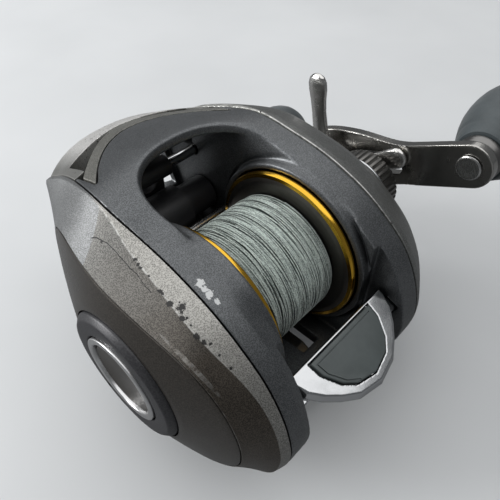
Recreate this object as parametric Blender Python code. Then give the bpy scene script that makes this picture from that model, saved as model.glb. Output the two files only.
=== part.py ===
"""Low-profile baitcasting reel, right-hand wind, built as separate sub-parts.

All sizes are millimetres in the reel's own frame: the origin is the middle of the spool
on the spool's axis, +X runs towards the handle, +Y towards the rod tip and +Z up.
The finished objects are in metres, and stand on the underside of the reel foot.
"""
import math

import bpy
import bmesh
from mathutils import Matrix, Vector

MM = 0.001
GAP = 0.3                      # clearance between neighbouring pieces
RUN_GAP = 0.25                 # clearance between a shaft and its bore

# Overall layout
AXIS_HEIGHT = 23.5             # spool axis above the underside of the foot
BODY_HALF = 19.2               # middle of the reel to a side plate's outer face, at the spool
BAY_HALF = 12.5                # middle of the reel to a side plate's inner face
PLATE_WEB = 3.0                # right side plate under the gears
SEAM_GAP = 0.3                 # line between the frame and a side cover

# Side view of the body as (y, z), from the nose over the top and back along the bottom
NOSE_Y = 44.7
NOSE_Z = 13.2
TOP_Z = 22.0
FLOOR_Z = -20.5
REAR_Y = -27.2
BODY_OUTLINE = [
    (NOSE_Y, NOSE_Z), (41.0, 15.1), (37.5, 16.9), (32.0, 18.9), (26.0, 20.6), (20.0, TOP_Z - 0.2),
    (14.0, TOP_Z), (7.0, 20.9), (1.0, 19.6), (-5.0, 17.8), (-10.6, 15.6), (-16.0, 12.3),
    (-20.8, 8.3), (-24.5, 2.8), (REAR_Y + 0.6, -3.0), (REAR_Y, -8.0), (REAR_Y + 1.2, -13.5),
    (-22.0, -18.0), (-16.0, FLOOR_Z + 0.3), (-8.0, FLOOR_Z), (6.0, FLOOR_Z), (16.0, FLOOR_Z + 0.9),
    (25.0, -15.8), (33.0, -9.5), (39.0, -2.0), (43.0, 5.0), (NOSE_Y + 0.4, 10.5)]
NOSE_NARROWING = 0.17          # how far the nose falls back at the sides, as a share
NOSE_TAPER = 0.14              # how far the sides draw in towards the nose, as a share
TAPER_START_Y = 12.0
TAPER_LENGTH = 27.0
HOOD_CROWN = 1.1               # how far the top falls off at the sides
FLOOR_REAR_Y = -18.5           # rear end of the floor between the side plates
REAR_HALF = 14.2               # half width between the side plates round the thumb bar
REAR_START_Y = -18.2
WALL = 1.6                     # wall of the covers and the hood

# Thumb opening in the top of the frame
ARCH_HALF = 14.2
ARCH_FRONT_Y = 21.0
ARCH_START_Y = 6.0
ARCH_DRAFT = 0.30              # opening grows this much for each millimetre of height

# Front trim, nose bar and line window
TRIM_BACK_Y = 34.0
TRIM_FRONT_Y = 38.0
TRIM_SWEEP = 11.5              # how far the trim runs back at its ends
TRIM_HALF = 15.5
TRIM_REACH = 16.4              # middle of the reel to the trim's ends
TRIM_THICKNESS = 1.6
NOSE_INNER_Y = 38.6
NOSE_BAR_FLOOR_Z = 9.6
NOSE_ARM_BACK_Y = 27.0
SLOT_HALF = 14.8
WINDOW_HALF = 11.0
WINDOW_SILL_Z = -3.0

# Spool and line
FLANGE_R = 17.0
SPOOL_HALF = BAY_HALF - 1.3
RIM_WIDTH = 1.15
FLANGE_WALL = 0.9
SPOOL_CORE_R = 8.5
LINE_CORE_R = 12.5
LINE_D = 0.38
LINE_LOOPS = 7
LINE_PITCH = 2.4
SHAFT_R = 1.75
SHAFT_THIN_R = 1.2
COLLAR_WALL = 1.2
BEARING_R = 4.5
BEARING_WIDTH = 2.4

# Gears
GEAR_MODULE = 0.39
DRIVE_TEETH = 60
PINION_TEETH = 12
DRIVE_ANGLE = -16.7            # direction from the spool axis to the drive shaft, degrees
WIND_MODULE = 0.48
WIND_TEETH = 36
WORM_TEETH = 18
WORM_ANGLE = 13.9              # direction from the drive shaft to the worm shaft, degrees
BACKLASH = 0.12
GEAR_WIDTH = 3.0
WIND_WIDTH = 1.3
DRIVE_SHAFT_R = 2.6
CLUTCH_SHIFT = 2.0
YOKE_POST_R = 1.1

# Level wind
TUBE_R = 4.0
TUBE_WALL = 0.9
WORM_R = 2.4
WORM_GROOVE = 0.55
WORM_TURNS = 5
GUIDE_BAR_R = 1.2
GUIDE_BAR_Y = 29.3
GUIDE_BAR_Z = 8.9
REAR_ROD_R = 0.9
REAR_ROD_Y = 19.1
REAR_ROD_Z = -2.3
CARRIAGE_HALF = 4.5
EYE_R = 1.6
EYE_Z = 5.4

# Palm side
DIAL_R = 12.7
DIAL_FACE_X = -31.6
DIAL_THICKNESS = 2.3
RING_R = 8.4
RING_WIDTH = 1.5
PANEL_APEX_X = -30.3
CREASE_FRONT = 1.2
CREASE_REAR = 4.6
PANEL_OUTLINE = [
    (28.0, 6.0), (26.0, 12.0), (20.0, 15.8), (12.0, 17.2), (4.0, 17.6), (-4.0, 17.2),
    (-12.0, 15.2), (-18.0, 11.0), (-21.5, 5.0), (-22.8, -2.0), (-21.5, -9.0), (-16.0, -14.5),
    (-8.0, -17.2), (2.0, -17.6), (12.0, -16.0), (20.0, -11.0), (26.0, -3.0)]
BRAKE_BASE_X = 0.4 - BAY_HALF
BRAKE_BASE_WALL = 1.4
MAGNET_COUNT = 6
MAGNET_R = 1.7
MAGNET_RING_R = 10.5
BRAKE_TRAVEL = 1.2

# Handle side
COVER_FACE_X = 29.3
CAP_R = 8.1
CAP_RIDGES = 15
CAP_START_X = 35.4
CAP_END_X = 41.0
STAR_ARM_X = 41.4
STAR_ARM_R = 24.0
STAR_ARMS = 5
STAR_ANGLE = 75.5
HANDLE_X = 47.0
HANDLE_THICKNESS = 2.4
HANDLE_CRANK = 2.2
HANDLE_HALF = 37.5
HANDLE_ANGLE = 153.4
HANDLE_HUB_R = 8.8
HANDLE_END_R = 4.9
HANDLE_TAPER = 24.0            # distance over which the arm narrows from its hub
KNOB_LENGTH = 25.0
KNOB_R = 9.6
KNOB_PIN_R = 1.6

# Thumb bar
THUMB_HALF = REAR_HALF - 0.4
THUMB_DEPTH = 12.0
THUMB_HEIGHT = 4.6
THUMB_FRONT_Y = -20.7
THUMB_FRONT_Z = 1.5
THUMB_SLOPE = 22.5
THUMB_TRAVEL = 3.5
TAB_FRONT = 2.4                # tabs at the ends of the thumb bar, in the bar's own directions
TAB_BACK = 5.0
TAB_LOW = -4.2
TAB_HIGH = -1.6
TAB_REACH = 0.6                # how far a tab runs into a side plate
PAD_HALF = 8.6
PAD_DEPTH = 9.6
PAD_START = 0.85
PAD_THICKNESS = 1.0

# Foot
FOOT_HALF = 7.0
FOOT_FRONT_Y = 38.0
FOOT_REAR_Y = -19.0
FOOT_TIP = 1.3
FOOT_SCREW_R = 1.6

ROUND = 20                     # sides of a large turned piece
MIDDLE = 12                    # sides of a middling one
SMALL = 8                      # sides of a small one


# ---------------------------------------------------------------- helpers

def clear_scene():
    for item in list(bpy.data.objects):
        bpy.data.objects.remove(item, do_unlink=True)


def material(name, colour, roughness, metallic):
    made = bpy.data.materials.new(name)
    made.use_nodes = True
    shader = made.node_tree.nodes["Principled BSDF"]
    shader.inputs["Base Color"].default_value = (*colour, 1.0)
    shader.inputs["Roughness"].default_value = roughness
    shader.inputs["Metallic"].default_value = metallic
    made.diffuse_color = (*colour, 1.0)
    return made


def object_from(bm, name):
    bmesh.ops.recalc_face_normals(bm, faces=bm.faces)
    mesh = bpy.data.meshes.new(name)
    bm.to_mesh(mesh)
    bm.free()
    made = bpy.data.objects.new(name, mesh)
    bpy.context.scene.collection.objects.link(made)
    return made


def bake(item):
    """Replace an object's mesh by what its modifiers make of it."""
    bpy.context.view_layer.update()
    graph = bpy.context.evaluated_depsgraph_get()
    mesh = bpy.data.meshes.new_from_object(item.evaluated_get(graph))
    item.modifiers.clear()
    item.data = mesh
    return item


def combine(item, others, operation):
    """Union, difference or intersection with each of the others, which are used up."""
    for other in others:
        step = item.modifiers.new("cut", 'BOOLEAN')
        step.operation = operation
        step.solver = 'EXACT'
        step.object = other
        bake(item)
        bpy.data.objects.remove(other, do_unlink=True)
    return item


def cut(item, *others):
    return combine(item, others, 'DIFFERENCE')


def join(item, *others):
    return combine(item, others, 'UNION')


def keep(item, *others):
    return combine(item, others, 'INTERSECT')


def soften(item, width, angle=35.0, segments=1):
    """Chamfer or round every edge sharper than the angle."""
    edge = item.modifiers.new("edge", 'BEVEL')
    edge.width = width
    edge.segments = segments
    edge.limit_method = 'ANGLE'
    edge.angle_limit = math.radians(angle)
    return bake(item)


def place(axis, along, a, b):
    """A point from its place along an axis and its two other coordinates."""
    if axis == 'X':
        return Vector((along, a, b))
    if axis == 'Y':
        return Vector((a, along, b))
    return Vector((a, b, along))


def is_flat(face):
    face.normal_update()
    start = face.verts[0].co
    return all(abs(face.normal.dot(vert.co - start)) < 1e-4 for vert in face.verts)


def lofted(rings, name="loft", closed=False):
    """Skin through rings of equal count. The ends are capped, or joined if closed."""
    bm = bmesh.new()
    loops = [[bm.verts.new(point) for point in ring] for ring in rings]
    count = len(rings[0])
    spans = len(loops) if closed else len(loops) - 1
    for row in range(spans):
        low = loops[row]
        high = loops[(row + 1) % len(loops)]
        for i in range(count):
            j = (i + 1) % count
            bm.faces.new((low[i], low[j], high[j], high[i]))
    if not closed:
        bm.faces.new(loops[0])
        bm.faces.new(loops[-1])
    bent = [face for face in bm.faces if not is_flat(face)]
    bmesh.ops.triangulate(bm, faces=bent)
    return object_from(bm, name)


def prism(outline, low, high, axis='X', name="prism"):
    rings = [[place(axis, end, a, b) for a, b in outline] for end in (low, high)]
    return lofted(rings, name)


def box(low, high):
    outline = [(low[1], low[2]), (high[1], low[2]), (high[1], high[2]), (low[1], high[2])]
    return prism(outline, low[0], high[0])


def circle(centre, radius, sides, phase=0.0):
    turn = 2.0 * math.pi / sides
    return [(centre[0] + radius * math.cos(phase + turn * i),
             centre[1] + radius * math.sin(phase + turn * i)) for i in range(sides)]


def cylinder(centre, radius, low, high, axis='X', sides=SMALL):
    return prism(circle(centre, radius, sides, 0.07), low, high, axis)


def turned(profile, centre=(0.0, 0.0), axis='X', sides=SMALL):
    """Turn a closed profile of (along, radius). Radius 0 lies on the axis."""
    bm = bmesh.new()
    turn = 2.0 * math.pi / sides
    loops = []
    for along, radius in profile:
        if radius <= 0.0:
            loops.append([bm.verts.new(place(axis, along, *centre))])
            continue
        ring = []
        for i in range(sides):
            a = centre[0] + radius * math.cos(turn * i)
            b = centre[1] + radius * math.sin(turn * i)
            ring.append(bm.verts.new(place(axis, along, a, b)))
        loops.append(ring)
    for row, low in enumerate(loops):
        high = loops[(row + 1) % len(loops)]
        if len(low) == 1 and len(high) == 1:
            continue
        for i in range(sides):
            j = (i + 1) % sides
            corners = [low[i % len(low)], low[j % len(low)], high[j % len(high)], high[i % len(high)]]
            bm.faces.new(list(dict.fromkeys(corners)))
    return object_from(bm, "turned")


def tube(centre, inner, outer, low, high, axis='X', sides=SMALL):
    return turned([(low, inner), (low, outer), (high, outer), (high, inner)], centre, axis, sides)


def smooth_closed(points, steps=1):
    """Closed Catmull-Rom curve through the points."""
    made = []
    count = len(points)
    for i in range(count):
        p0, p1, p2, p3 = (Vector(points[(i + k - 1) % count]) for k in range(4))
        for step in range(steps):
            t = step / steps
            spot = 0.5 * (2 * p1 + (p2 - p0) * t + (2 * p0 - 5 * p1 + 4 * p2 - p3) * t * t
                          + (3 * p1 - p0 - 3 * p2 + p3) * t ** 3)
            made.append(tuple(spot))
    return made


def shrunk(outline, amount, centre=(0.0, 0.0)):
    """Outline drawn in towards a centre by an amount."""
    made = []
    for y, z in outline:
        offset = Vector((y - centre[0], z - centre[1]))
        offset *= 1.0 - amount / offset.length
        made.append((centre[0] + offset.x, centre[1] + offset.y))
    return made


def polar(centre, radius, degrees):
    turn = math.radians(degrees)
    return (centre[0] + radius * math.cos(turn), centre[1] + radius * math.sin(turn))


def smooth_step(value):
    value = min(1.0, max(0.0, value))
    return value * value * (3.0 - 2.0 * value)


# ---------------------------------------------------------------- layout

DRIVE_AXIS = polar((0.0, 0.0), GEAR_MODULE * (DRIVE_TEETH + PINION_TEETH) / 2.0, DRIVE_ANGLE)
WORM_AXIS = polar(DRIVE_AXIS, WIND_MODULE * (WIND_TEETH + WORM_TEETH) / 2.0, WORM_ANGLE)
WEB_X = BAY_HALF + PLATE_WEB                       # floor of the gear chamber
WIND_X = WEB_X + 1.9                               # level-wind gears
DRIVE_X = WIND_X + WIND_WIDTH + 1.2                # main gears
BORE_R = FLANGE_R + GAP                            # frame's bore around a flange
SPOOL_AXIS = (0.0, 0.0)


def side_taper(y):
    return 1.0 - NOSE_TAPER * smooth_step((y - TAPER_START_Y) / TAPER_LENGTH)


def warp(u, y, z):
    """Body surface point: u runs from -1 at the palm side to 1 at the handle side."""
    y_new = y
    if y > TAPER_START_Y:
        y_new = TAPER_START_Y + (y - TAPER_START_Y) * (1.0 - NOSE_NARROWING * abs(u) ** 2.5)
    top = smooth_step((y + 5.0) / 20.0) * smooth_step(z / 12.0)
    return Vector((u * BODY_HALF * side_taper(y), y_new, z - HOOD_CROWN * u * u * top))


def body_block(spans=(-1.0, -0.8, -0.45, 0.0, 0.45, 0.8, 1.0)):
    """The outer skin of frame, trim and nose as one solid."""
    outline = smooth_closed(BODY_OUTLINE)
    return lofted([[warp(u, y, z) for y, z in outline] for u in spans], "body")


def seam_ring(side, outline, offset):
    """Edge of a side cover along the frame, with the seam's gap and an offset outwards."""
    ring = []
    for y, z in outline:
        spot = warp(side, y, z)
        spot.x += side * (SEAM_GAP + offset)
        ring.append(spot)
    return ring


def trim_edge(x, front):
    """y of the trim's front or back edge at x."""
    base = TRIM_FRONT_Y if front else TRIM_BACK_Y
    power = 1.55 if front else 1.9
    return base - TRIM_SWEEP * (abs(x) / TRIM_HALF) ** power


def nose_inner(x):
    """y of the nose bar's inner edge at x."""
    return NOSE_INNER_Y - 0.176 * abs(x) ** 1.25


def plan_strip(back, front, half, low, high, steps=12):
    """Upright prism between two edges given as y over x."""
    stops = [half * (2.0 * i / steps - 1.0) for i in range(steps + 1)]
    outline = [(x, front(x)) for x in stops] + [(x, back(x)) for x in reversed(stops)]
    return prism(outline, low, high, 'Z')


def lowered_body(depth):
    """The body moved in, to leave a skin of the given depth on the hood."""
    moved = body_block()
    moved.data.transform(Matrix.Translation((0.0, -0.4 * depth, -0.92 * depth)))
    return moved


# ---------------------------------------------------------------- frame

def arch_outline(height, grow):
    """Thumb opening seen from above, open at the rear, at a height above the bay."""
    half = ARCH_HALF + grow
    reach = ARCH_FRONT_Y - ARCH_START_Y + grow
    outline = [(half, -45.0)]
    for step in range(13):
        turn = math.pi * step / 12.0
        across = math.copysign(abs(math.cos(turn)) ** 0.87, math.cos(turn))
        outline.append((half * across, ARCH_START_Y + reach * math.sin(turn) ** 0.87))
    outline.append((-half, -45.0))
    return [Vector((x, y, height)) for x, y in outline]


def bay_outline():
    """Side view of the space for spool and level wind."""
    under = WALL + 0.6
    return [(-45.0, FLOOR_Z - 5.0), (FLOOR_REAR_Y, FLOOR_Z - 5.0), (FLOOR_REAR_Y, FLOOR_Z + 3.0), (20.0, FLOOR_Z + 3.0),
            (29.5, -10.0), (35.4, -2.0), (38.6, 6.0), (38.4, NOSE_Z - 0.4),
            (33.0, 18.6 - under), (27.0, 20.4 - under), (19.5, TOP_Z - under),
            (12.0, TOP_Z - under), (6.0, TOP_Z - under - 1.7), (-45.0, TOP_Z - under - 1.7)]


def gear_chamber_outline(clearance):
    outline = shrunk(BODY_OUTLINE, clearance, (5.0, -1.0))
    return [(min(y, 31.0), z) for y, z in outline]


def thumb_point(x, v, w, press=0.0):
    """Point on the thumb bar: v runs back along its top, w stands off it."""
    slope = math.radians(THUMB_SLOPE)
    w -= press
    return Vector((x, THUMB_FRONT_Y - v * math.cos(slope) - w * math.sin(slope),
                   THUMB_FRONT_Z - v * math.sin(slope) + w * math.cos(slope)))


def thumb_block(low, high, press=0.0):
    """Box in the thumb bar's own directions, stretched downwards by its travel."""
    rings = []
    for x in (low[0], high[0]):
        rings.append([thumb_point(x, low[1], high[2]), thumb_point(x, high[1], high[2]),
                      thumb_point(x, high[1], low[2], press), thumb_point(x, low[1], low[2], press)])
    return lofted(rings)


def make_frame():
    frame = body_block()
    arch = lofted([arch_outline(14.0, (14.0 - TOP_Z) * ARCH_DRAFT), arch_outline(30.0, 8.0 * ARCH_DRAFT)])
    cut(frame, prism(bay_outline(), -BAY_HALF, BAY_HALF), arch)
    for side in (-1, 1):
        collar = cylinder(SPOOL_AXIS, BORE_R + COLLAR_WALL, min(side * (BAY_HALF + 1.0), side * 11.2),
                          max(side * (BAY_HALF + 1.0), side * 11.2), sides=ROUND)
        join(frame, collar)
    # bores for the spool, right through on the palm side
    cut(frame, cylinder(SPOOL_AXIS, BORE_R, -BODY_HALF - 2.0, -5.0, sides=ROUND),
        cylinder(SPOOL_AXIS, BORE_R, 5.0, BAY_HALF + 0.8, sides=ROUND))
    # gear chamber and shaft bores in the right plate
    cut(frame, prism(gear_chamber_outline(3.0), WEB_X, BODY_HALF + 2.0))
    cut(frame, cylinder(SPOOL_AXIS, BEARING_R + RUN_GAP, BAY_HALF - 1.0, WEB_X + 1.0, sides=MIDDLE),
        cylinder(DRIVE_AXIS, DRIVE_SHAFT_R + RUN_GAP, BAY_HALF + 1.0, WEB_X + 1.0),
        cylinder(WORM_AXIS, WORM_R + RUN_GAP, BAY_HALF - 1.0, WEB_X + 1.0),
        cylinder(WORM_AXIS, WORM_R + RUN_GAP, -BAY_HALF - 1.6, -BAY_HALF + 1.0))
    # posts that the clutch yoke slides on
    for spot in yoke_post_places():
        join(frame, cylinder(spot, YOKE_POST_R, WEB_X - 0.8, 25.5))
    # seats of the level wind's rods
    for y, z, radius in ((GUIDE_BAR_Y, GUIDE_BAR_Z, GUIDE_BAR_R), (REAR_ROD_Y, REAR_ROD_Z, REAR_ROD_R)):
        cut(frame, cylinder((y, z), radius + RUN_GAP, -BAY_HALF - 0.7, BAY_HALF + 0.7, sides=12))
    # line window, nose bar seat and trim seat
    cut(frame, box((-WINDOW_HALF, 32.0, WINDOW_SILL_Z), (WINDOW_HALF, 60.0, NOSE_BAR_FLOOR_Z + 1.0)))
    cut(frame, plan_strip(lambda x: max(trim_edge(x, True), NOSE_ARM_BACK_Y), lambda x: 60.0,
                          BODY_HALF + 2.0, NOSE_BAR_FLOOR_Z - GAP, 40.0))
    trim_seat = plan_strip(lambda x: trim_edge(x, False) - GAP, lambda x: trim_edge(x, True) + 3.0,
                           TRIM_REACH + GAP, 8.0, 40.0)
    cut(trim_seat, lowered_body(TRIM_THICKNESS + GAP))
    cut(frame, trim_seat)
    # wider room for the thumb bar, and slots in which its tabs run
    cut(frame, box((-REAR_HALF, REAR_Y - 10.0, FLOOR_Z - 6.0), (REAR_HALF, REAR_START_Y, TOP_Z + 5.0)))
    cut(frame, thumb_block((-REAR_HALF - TAB_REACH - 0.25, TAB_FRONT - GAP, TAB_LOW - GAP),
                           (REAR_HALF + TAB_REACH + 0.25, TAB_BACK + GAP, TAB_HIGH + GAP), THUMB_TRAVEL))
    # floor windows
    for side in (-1, 1):
        cut(frame, box((min(side * 2.9, side * 8.0), -13.0, FLOOR_Z - 2.0),
                       (max(side * 2.9, side * 8.0), 7.5, FLOOR_Z + 6.0)))
    for y in foot_screw_places():
        cut(frame, cylinder((0.0, y), FOOT_SCREW_R + RUN_GAP, FLOOR_Z - 2.0, FLOOR_Z + 2.2, 'Z', 12))
    return frame


def make_front_trim():
    trim = plan_strip(lambda x: trim_edge(x, False), lambda x: trim_edge(x, True), TRIM_REACH, 8.0, 40.0)
    keep(trim, body_block())
    return cut(trim, lowered_body(TRIM_THICKNESS))


def make_nose_bar():
    bar = plan_strip(lambda x: max(trim_edge(x, True), NOSE_ARM_BACK_Y) + GAP, lambda x: 60.0,
                     BODY_HALF + 2.0, NOSE_BAR_FLOOR_Z, 40.0)
    keep(bar, body_block())
    slot = plan_strip(lambda x: 20.0, nose_inner, SLOT_HALF, 0.0, 40.0)
    return cut(bar, slot)


# ---------------------------------------------------------------- palm side

def radius_at(outline, angle):
    """Distance from the spool axis to a closed outline in a direction."""
    way = Vector((math.cos(angle), math.sin(angle)))
    best = 0.0
    for i, start in enumerate(outline):
        a = Vector(start)
        edge = Vector(outline[(i + 1) % len(outline)]) - a
        across = way.x * edge.y - way.y * edge.x
        if abs(across) < 1e-9:
            continue
        reach = (a.x * edge.y - a.y * edge.x) / across
        share = (a.x * way.y - a.y * way.x) / across
        if reach > 0.0 and -1e-6 <= share <= 1.0 + 1e-6:
            best = max(best, reach)
    return best


def dome_x(radius):
    """Outer face of the palm panel at a distance from the spool axis."""
    run = radius - DIAL_R - 2.0 * SEAM_GAP
    return PANEL_APEX_X + 0.36 * run + 0.004 * run * run


def ring_at(angles, radii, stops):
    return [Vector((x, r * math.cos(a), r * math.sin(a))) for a, r, x in zip(angles, radii, stops)]


def palm_directions():
    corners = smooth_closed(BODY_OUTLINE)
    outline = []
    for a, b in zip(corners, corners[1:] + corners[:1]):
        outline.append(a)
        if abs(Vector(a).angle_signed(Vector(b))) > math.radians(16.0):
            outline.append(tuple((Vector(a) + Vector(b)) / 2.0))
    angles = [math.atan2(z, y) for y, z in outline]
    edge = smooth_closed(PANEL_OUTLINE)
    return outline, angles, [radius_at(edge, a) for a in angles]


def crease_depth(angle):
    turn = 0.5 - 0.5 * math.cos(angle - math.radians(50.0))
    return CREASE_FRONT + (CREASE_REAR - CREASE_FRONT) * turn


def make_palm_cover():
    """Shoulder of the palm side, open in the middle, with a ledge for the panel."""
    outline, angles, edge = palm_directions()
    seam = seam_ring(-1.0, outline, 0.0)
    crease = [Vector((s.x - crease_depth(a), s.y * 0.97, s.z * 0.97)) for s, a in zip(seam, angles)]
    ledge = WALL - 0.4
    inner = [r - 1.3 for r in edge]
    rings = [
        seam, crease,
        ring_at(angles, edge, [dome_x(r) for r in edge]),
        ring_at(angles, edge, [dome_x(r) + ledge for r in edge]),
        ring_at(angles, inner, [dome_x(r) + ledge for r in edge]),
        ring_at(angles, inner, [dome_x(r) + 2.0 * ledge for r in edge])]
    crease_in = []
    seam_in = []
    for spot, bend in zip(seam, crease):
        draw = 1.0 - 1.9 / math.hypot(bend.y, bend.z)
        crease_in.append(Vector((bend.x + 0.6, bend.y * draw, bend.z * draw)))
        draw = 1.0 - 1.9 / math.hypot(spot.y, spot.z)
        seam_in.append(Vector((spot.x, spot.y * draw, spot.z * draw)))
    cover = lofted(rings + [crease_in, seam_in], closed=True)
    return cover


def panel_block(lift=0.0):
    _, angles, edge = palm_directions()
    rim = [r - SEAM_GAP for r in edge]
    recess = DIAL_R + SEAM_GAP
    count = len(angles)
    floor_x = DIAL_FACE_X + DIAL_THICKNESS + GAP
    middle = [0.5 * (r + recess) for r in rim]
    rings = [
        ring_at(angles, rim, [dome_x(r) + lift for r in edge]),
        ring_at(angles, middle, [dome_x(r) + lift for r in middle]),
        ring_at(angles, [recess] * count, [dome_x(recess) + lift] * count),
        ring_at(angles, [recess] * count, [floor_x + lift] * count),
        ring_at(angles, [5.5] * count, [floor_x + lift] * count),
        ring_at(angles, [5.5] * count, [floor_x + 1.2 + lift] * count),
        ring_at(angles, [recess - 0.5] * count, [floor_x + 1.2 + lift] * count),
        ring_at(angles, rim, [dome_x(r) + 0.9 + lift for r in edge])]
    return lofted(rings, closed=True)


def inlay_outline(grow):
    """Slanted oval at the front of the palm panel."""
    lean = math.radians(-62.0)
    outline = []
    for a, b in circle((0.0, 0.0), 1.0, 20):
        a *= 5.6 + grow
        b *= 1.6 + grow
        outline.append((22.6 + a * math.cos(lean) - b * math.sin(lean),
                        -0.5 + a * math.sin(lean) + b * math.cos(lean)))
    return outline


def make_palm_panel():
    return cut(panel_block(), prism(inlay_outline(SEAM_GAP), -35.0, -15.0))


def make_side_inlay():
    return keep(prism(inlay_outline(0.0), -35.0, -15.0), panel_block(0.2))


def make_brake_dial():
    face = DIAL_FACE_X
    back = face + DIAL_THICKNESS
    seat = RING_R + GAP
    dial = turned([(face + 1.4, 0.0), (face + 1.4, seat), (face, seat), (face, DIAL_R - 1.2),
                   (face + 0.8, DIAL_R), (back, DIAL_R), (back, 5.2), (-20.6, 5.2), (-20.6, 9.2),
                   (-19.0, 9.2), (-19.0, 0.0)], sides=ROUND)
    y, z = polar(SPOOL_AXIS, DIAL_R - 2.1, -58.0)
    notch = box((face - 1.0, y - 1.0, z - 0.35), (face + 0.5, y + 1.0, z + 0.35))
    return cut(dial, notch)


def make_dial_ring():
    low = DIAL_FACE_X - 0.3
    inner = RING_R - RING_WIDTH
    return turned([(low, inner + 0.3), (low, RING_R - 0.3), (low + 0.3, RING_R),
                   (DIAL_FACE_X + 1.1, RING_R), (DIAL_FACE_X + 1.1, inner)], sides=ROUND)


def make_dial_centre():
    inner = RING_R - RING_WIDTH - GAP
    face = DIAL_FACE_X + 0.8
    return turned([(face, 0.0), (face - 0.1, inner - 1.6), (face - 0.6, inner - 0.6),
                   (face - 0.6, inner), (DIAL_FACE_X + 1.1, inner), (DIAL_FACE_X + 1.1, 0.0)])


def make_brake_base():
    """Inner plate of the palm side: it holds the spool's bearing and closes the frame."""
    low = BRAKE_BASE_X - BRAKE_BASE_WALL
    mouth = low - 3.1
    base = turned([(BRAKE_BASE_X, SHAFT_R + GAP), (BRAKE_BASE_X, BORE_R - GAP), (low, BORE_R - GAP),
                   (low, 6.2), (mouth, 6.2), (mouth, BEARING_R + RUN_GAP), (low, BEARING_R + RUN_GAP),
                   (low, SHAFT_R + GAP)], sides=ROUND)
    return base


def make_bearing(bore, middle, low):
    high = low + BEARING_WIDTH
    return tube(middle, bore, BEARING_R, low, high, sides=MIDDLE)


def carrier_spot(i):
    return polar(SPOOL_AXIS, MAGNET_RING_R - 0.9, 360.0 * i / MAGNET_COUNT)


def make_brake_carrier():
    return tube(SPOOL_AXIS, 6.5, MAGNET_RING_R + 2.1, -18.2, -17.2, sides=ROUND)


def make_brake_magnets():
    reach = MAGNET_RING_R - 0.9
    ring = tube(SPOOL_AXIS, reach - 1.1, reach + 1.1, -16.9, -16.4, sides=ROUND)
    return join(ring, *[cylinder(carrier_spot(i), MAGNET_R, -16.7, -15.2) for i in range(MAGNET_COUNT)])


# ---------------------------------------------------------------- spool and line

def make_spool():
    half = SPOOL_HALF
    bore = SHAFT_R + RUN_GAP
    web = half - RIM_WIDTH - 0.45                  # inner face of a flange
    right = [(web - 0.2, SPOOL_CORE_R), (web, 13.5), (half - RIM_WIDTH, FLANGE_R), (half, FLANGE_R),
             (half, FLANGE_R - 0.9), (web + FLANGE_WALL, 15.0), (web + FLANGE_WALL, 7.8)]
    left = [(-x, r) for x, r in reversed(right)]
    profile = [(-half + 0.4, bore), (-half + 0.4, 3.6), (-5.0, 3.6), (-5.0, 7.4)] + left + right
    profile += [(web + FLANGE_WALL, 3.6), (half - 0.1, 3.4), (half - 0.1, bore)]
    return turned(profile, sides=ROUND)


def make_spool_shaft():
    step = WEB_X - 0.5
    return turned([(-17.2, 0.0), (-17.2, SHAFT_R - 0.3), (-16.9, SHAFT_R), (step, SHAFT_R),
                   (step, SHAFT_THIN_R), (37.3, SHAFT_THIN_R), (37.6, SHAFT_THIN_R - 0.4), (37.6, 0.0)],
                  sides=SMALL)


def flange_face():
    return SPOOL_HALF - RIM_WIDTH - 0.45


def make_line_core():
    reach = flange_face() - 0.45
    return tube(SPOOL_AXIS, SPOOL_CORE_R + GAP, LINE_CORE_R, -reach, reach, sides=ROUND)


def make_line_winding():
    radius = LINE_CORE_R + GAP + LINE_D / 2.0
    steps = 24
    total = LINE_LOOPS * steps
    reach = LINE_LOOPS * LINE_PITCH / 2.0
    wall = flange_face() - GAP
    spots = []
    for i in range(total + 1):
        spots.append((-reach + 2.0 * reach * i / total, 2.0 * math.pi * i / steps))
    bend = LINE_D * 1.6 / radius
    spots = ([(-wall, -bend), (-wall + LINE_D, -bend), (-reach - 0.35 * LINE_D, -0.75 * bend)] + spots
             + [(reach + 0.35 * LINE_D, spots[-1][1] + 0.75 * bend),
                (wall - LINE_D, spots[-1][1] + bend), (wall, spots[-1][1] + bend)])
    points = [Vector((x, radius * math.sin(a), radius * math.cos(a))) for x, a in spots]
    print("line winding: least gap between turns %.3f mm" % least_gap(points, steps))
    curve = bpy.data.curves.new("winding", 'CURVE')
    curve.dimensions = '3D'
    curve.bevel_depth = LINE_D / 2.0
    curve.bevel_resolution = 1
    curve.use_fill_caps = True
    spline = curve.splines.new('POLY')
    spline.points.add(len(points) - 1)
    for target, point in zip(spline.points, points):
        target.co = (*point, 1.0)
    source = bpy.data.objects.new("winding", curve)
    bpy.context.scene.collection.objects.link(source)
    bpy.context.view_layer.update()
    graph = bpy.context.evaluated_depsgraph_get()
    mesh = bpy.data.meshes.new_from_object(source.evaluated_get(graph))
    bpy.data.objects.remove(source, do_unlink=True)
    bm = bmesh.new()
    bm.from_mesh(mesh)
    bmesh.ops.remove_doubles(bm, verts=bm.verts, dist=0.001)
    return object_from(bm, "line_winding")


def least_gap(points, steps):
    """Least clear distance between stretches of the strand at least half a turn apart."""
    least = 1e9
    for i, a in enumerate(points):
        for b in points[i + steps // 2:i + 2 * steps]:
            least = min(least, (a - b).length)
    return least - LINE_D


# ---------------------------------------------------------------- gears

def involute(angle):
    return math.tan(angle) - angle


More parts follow.
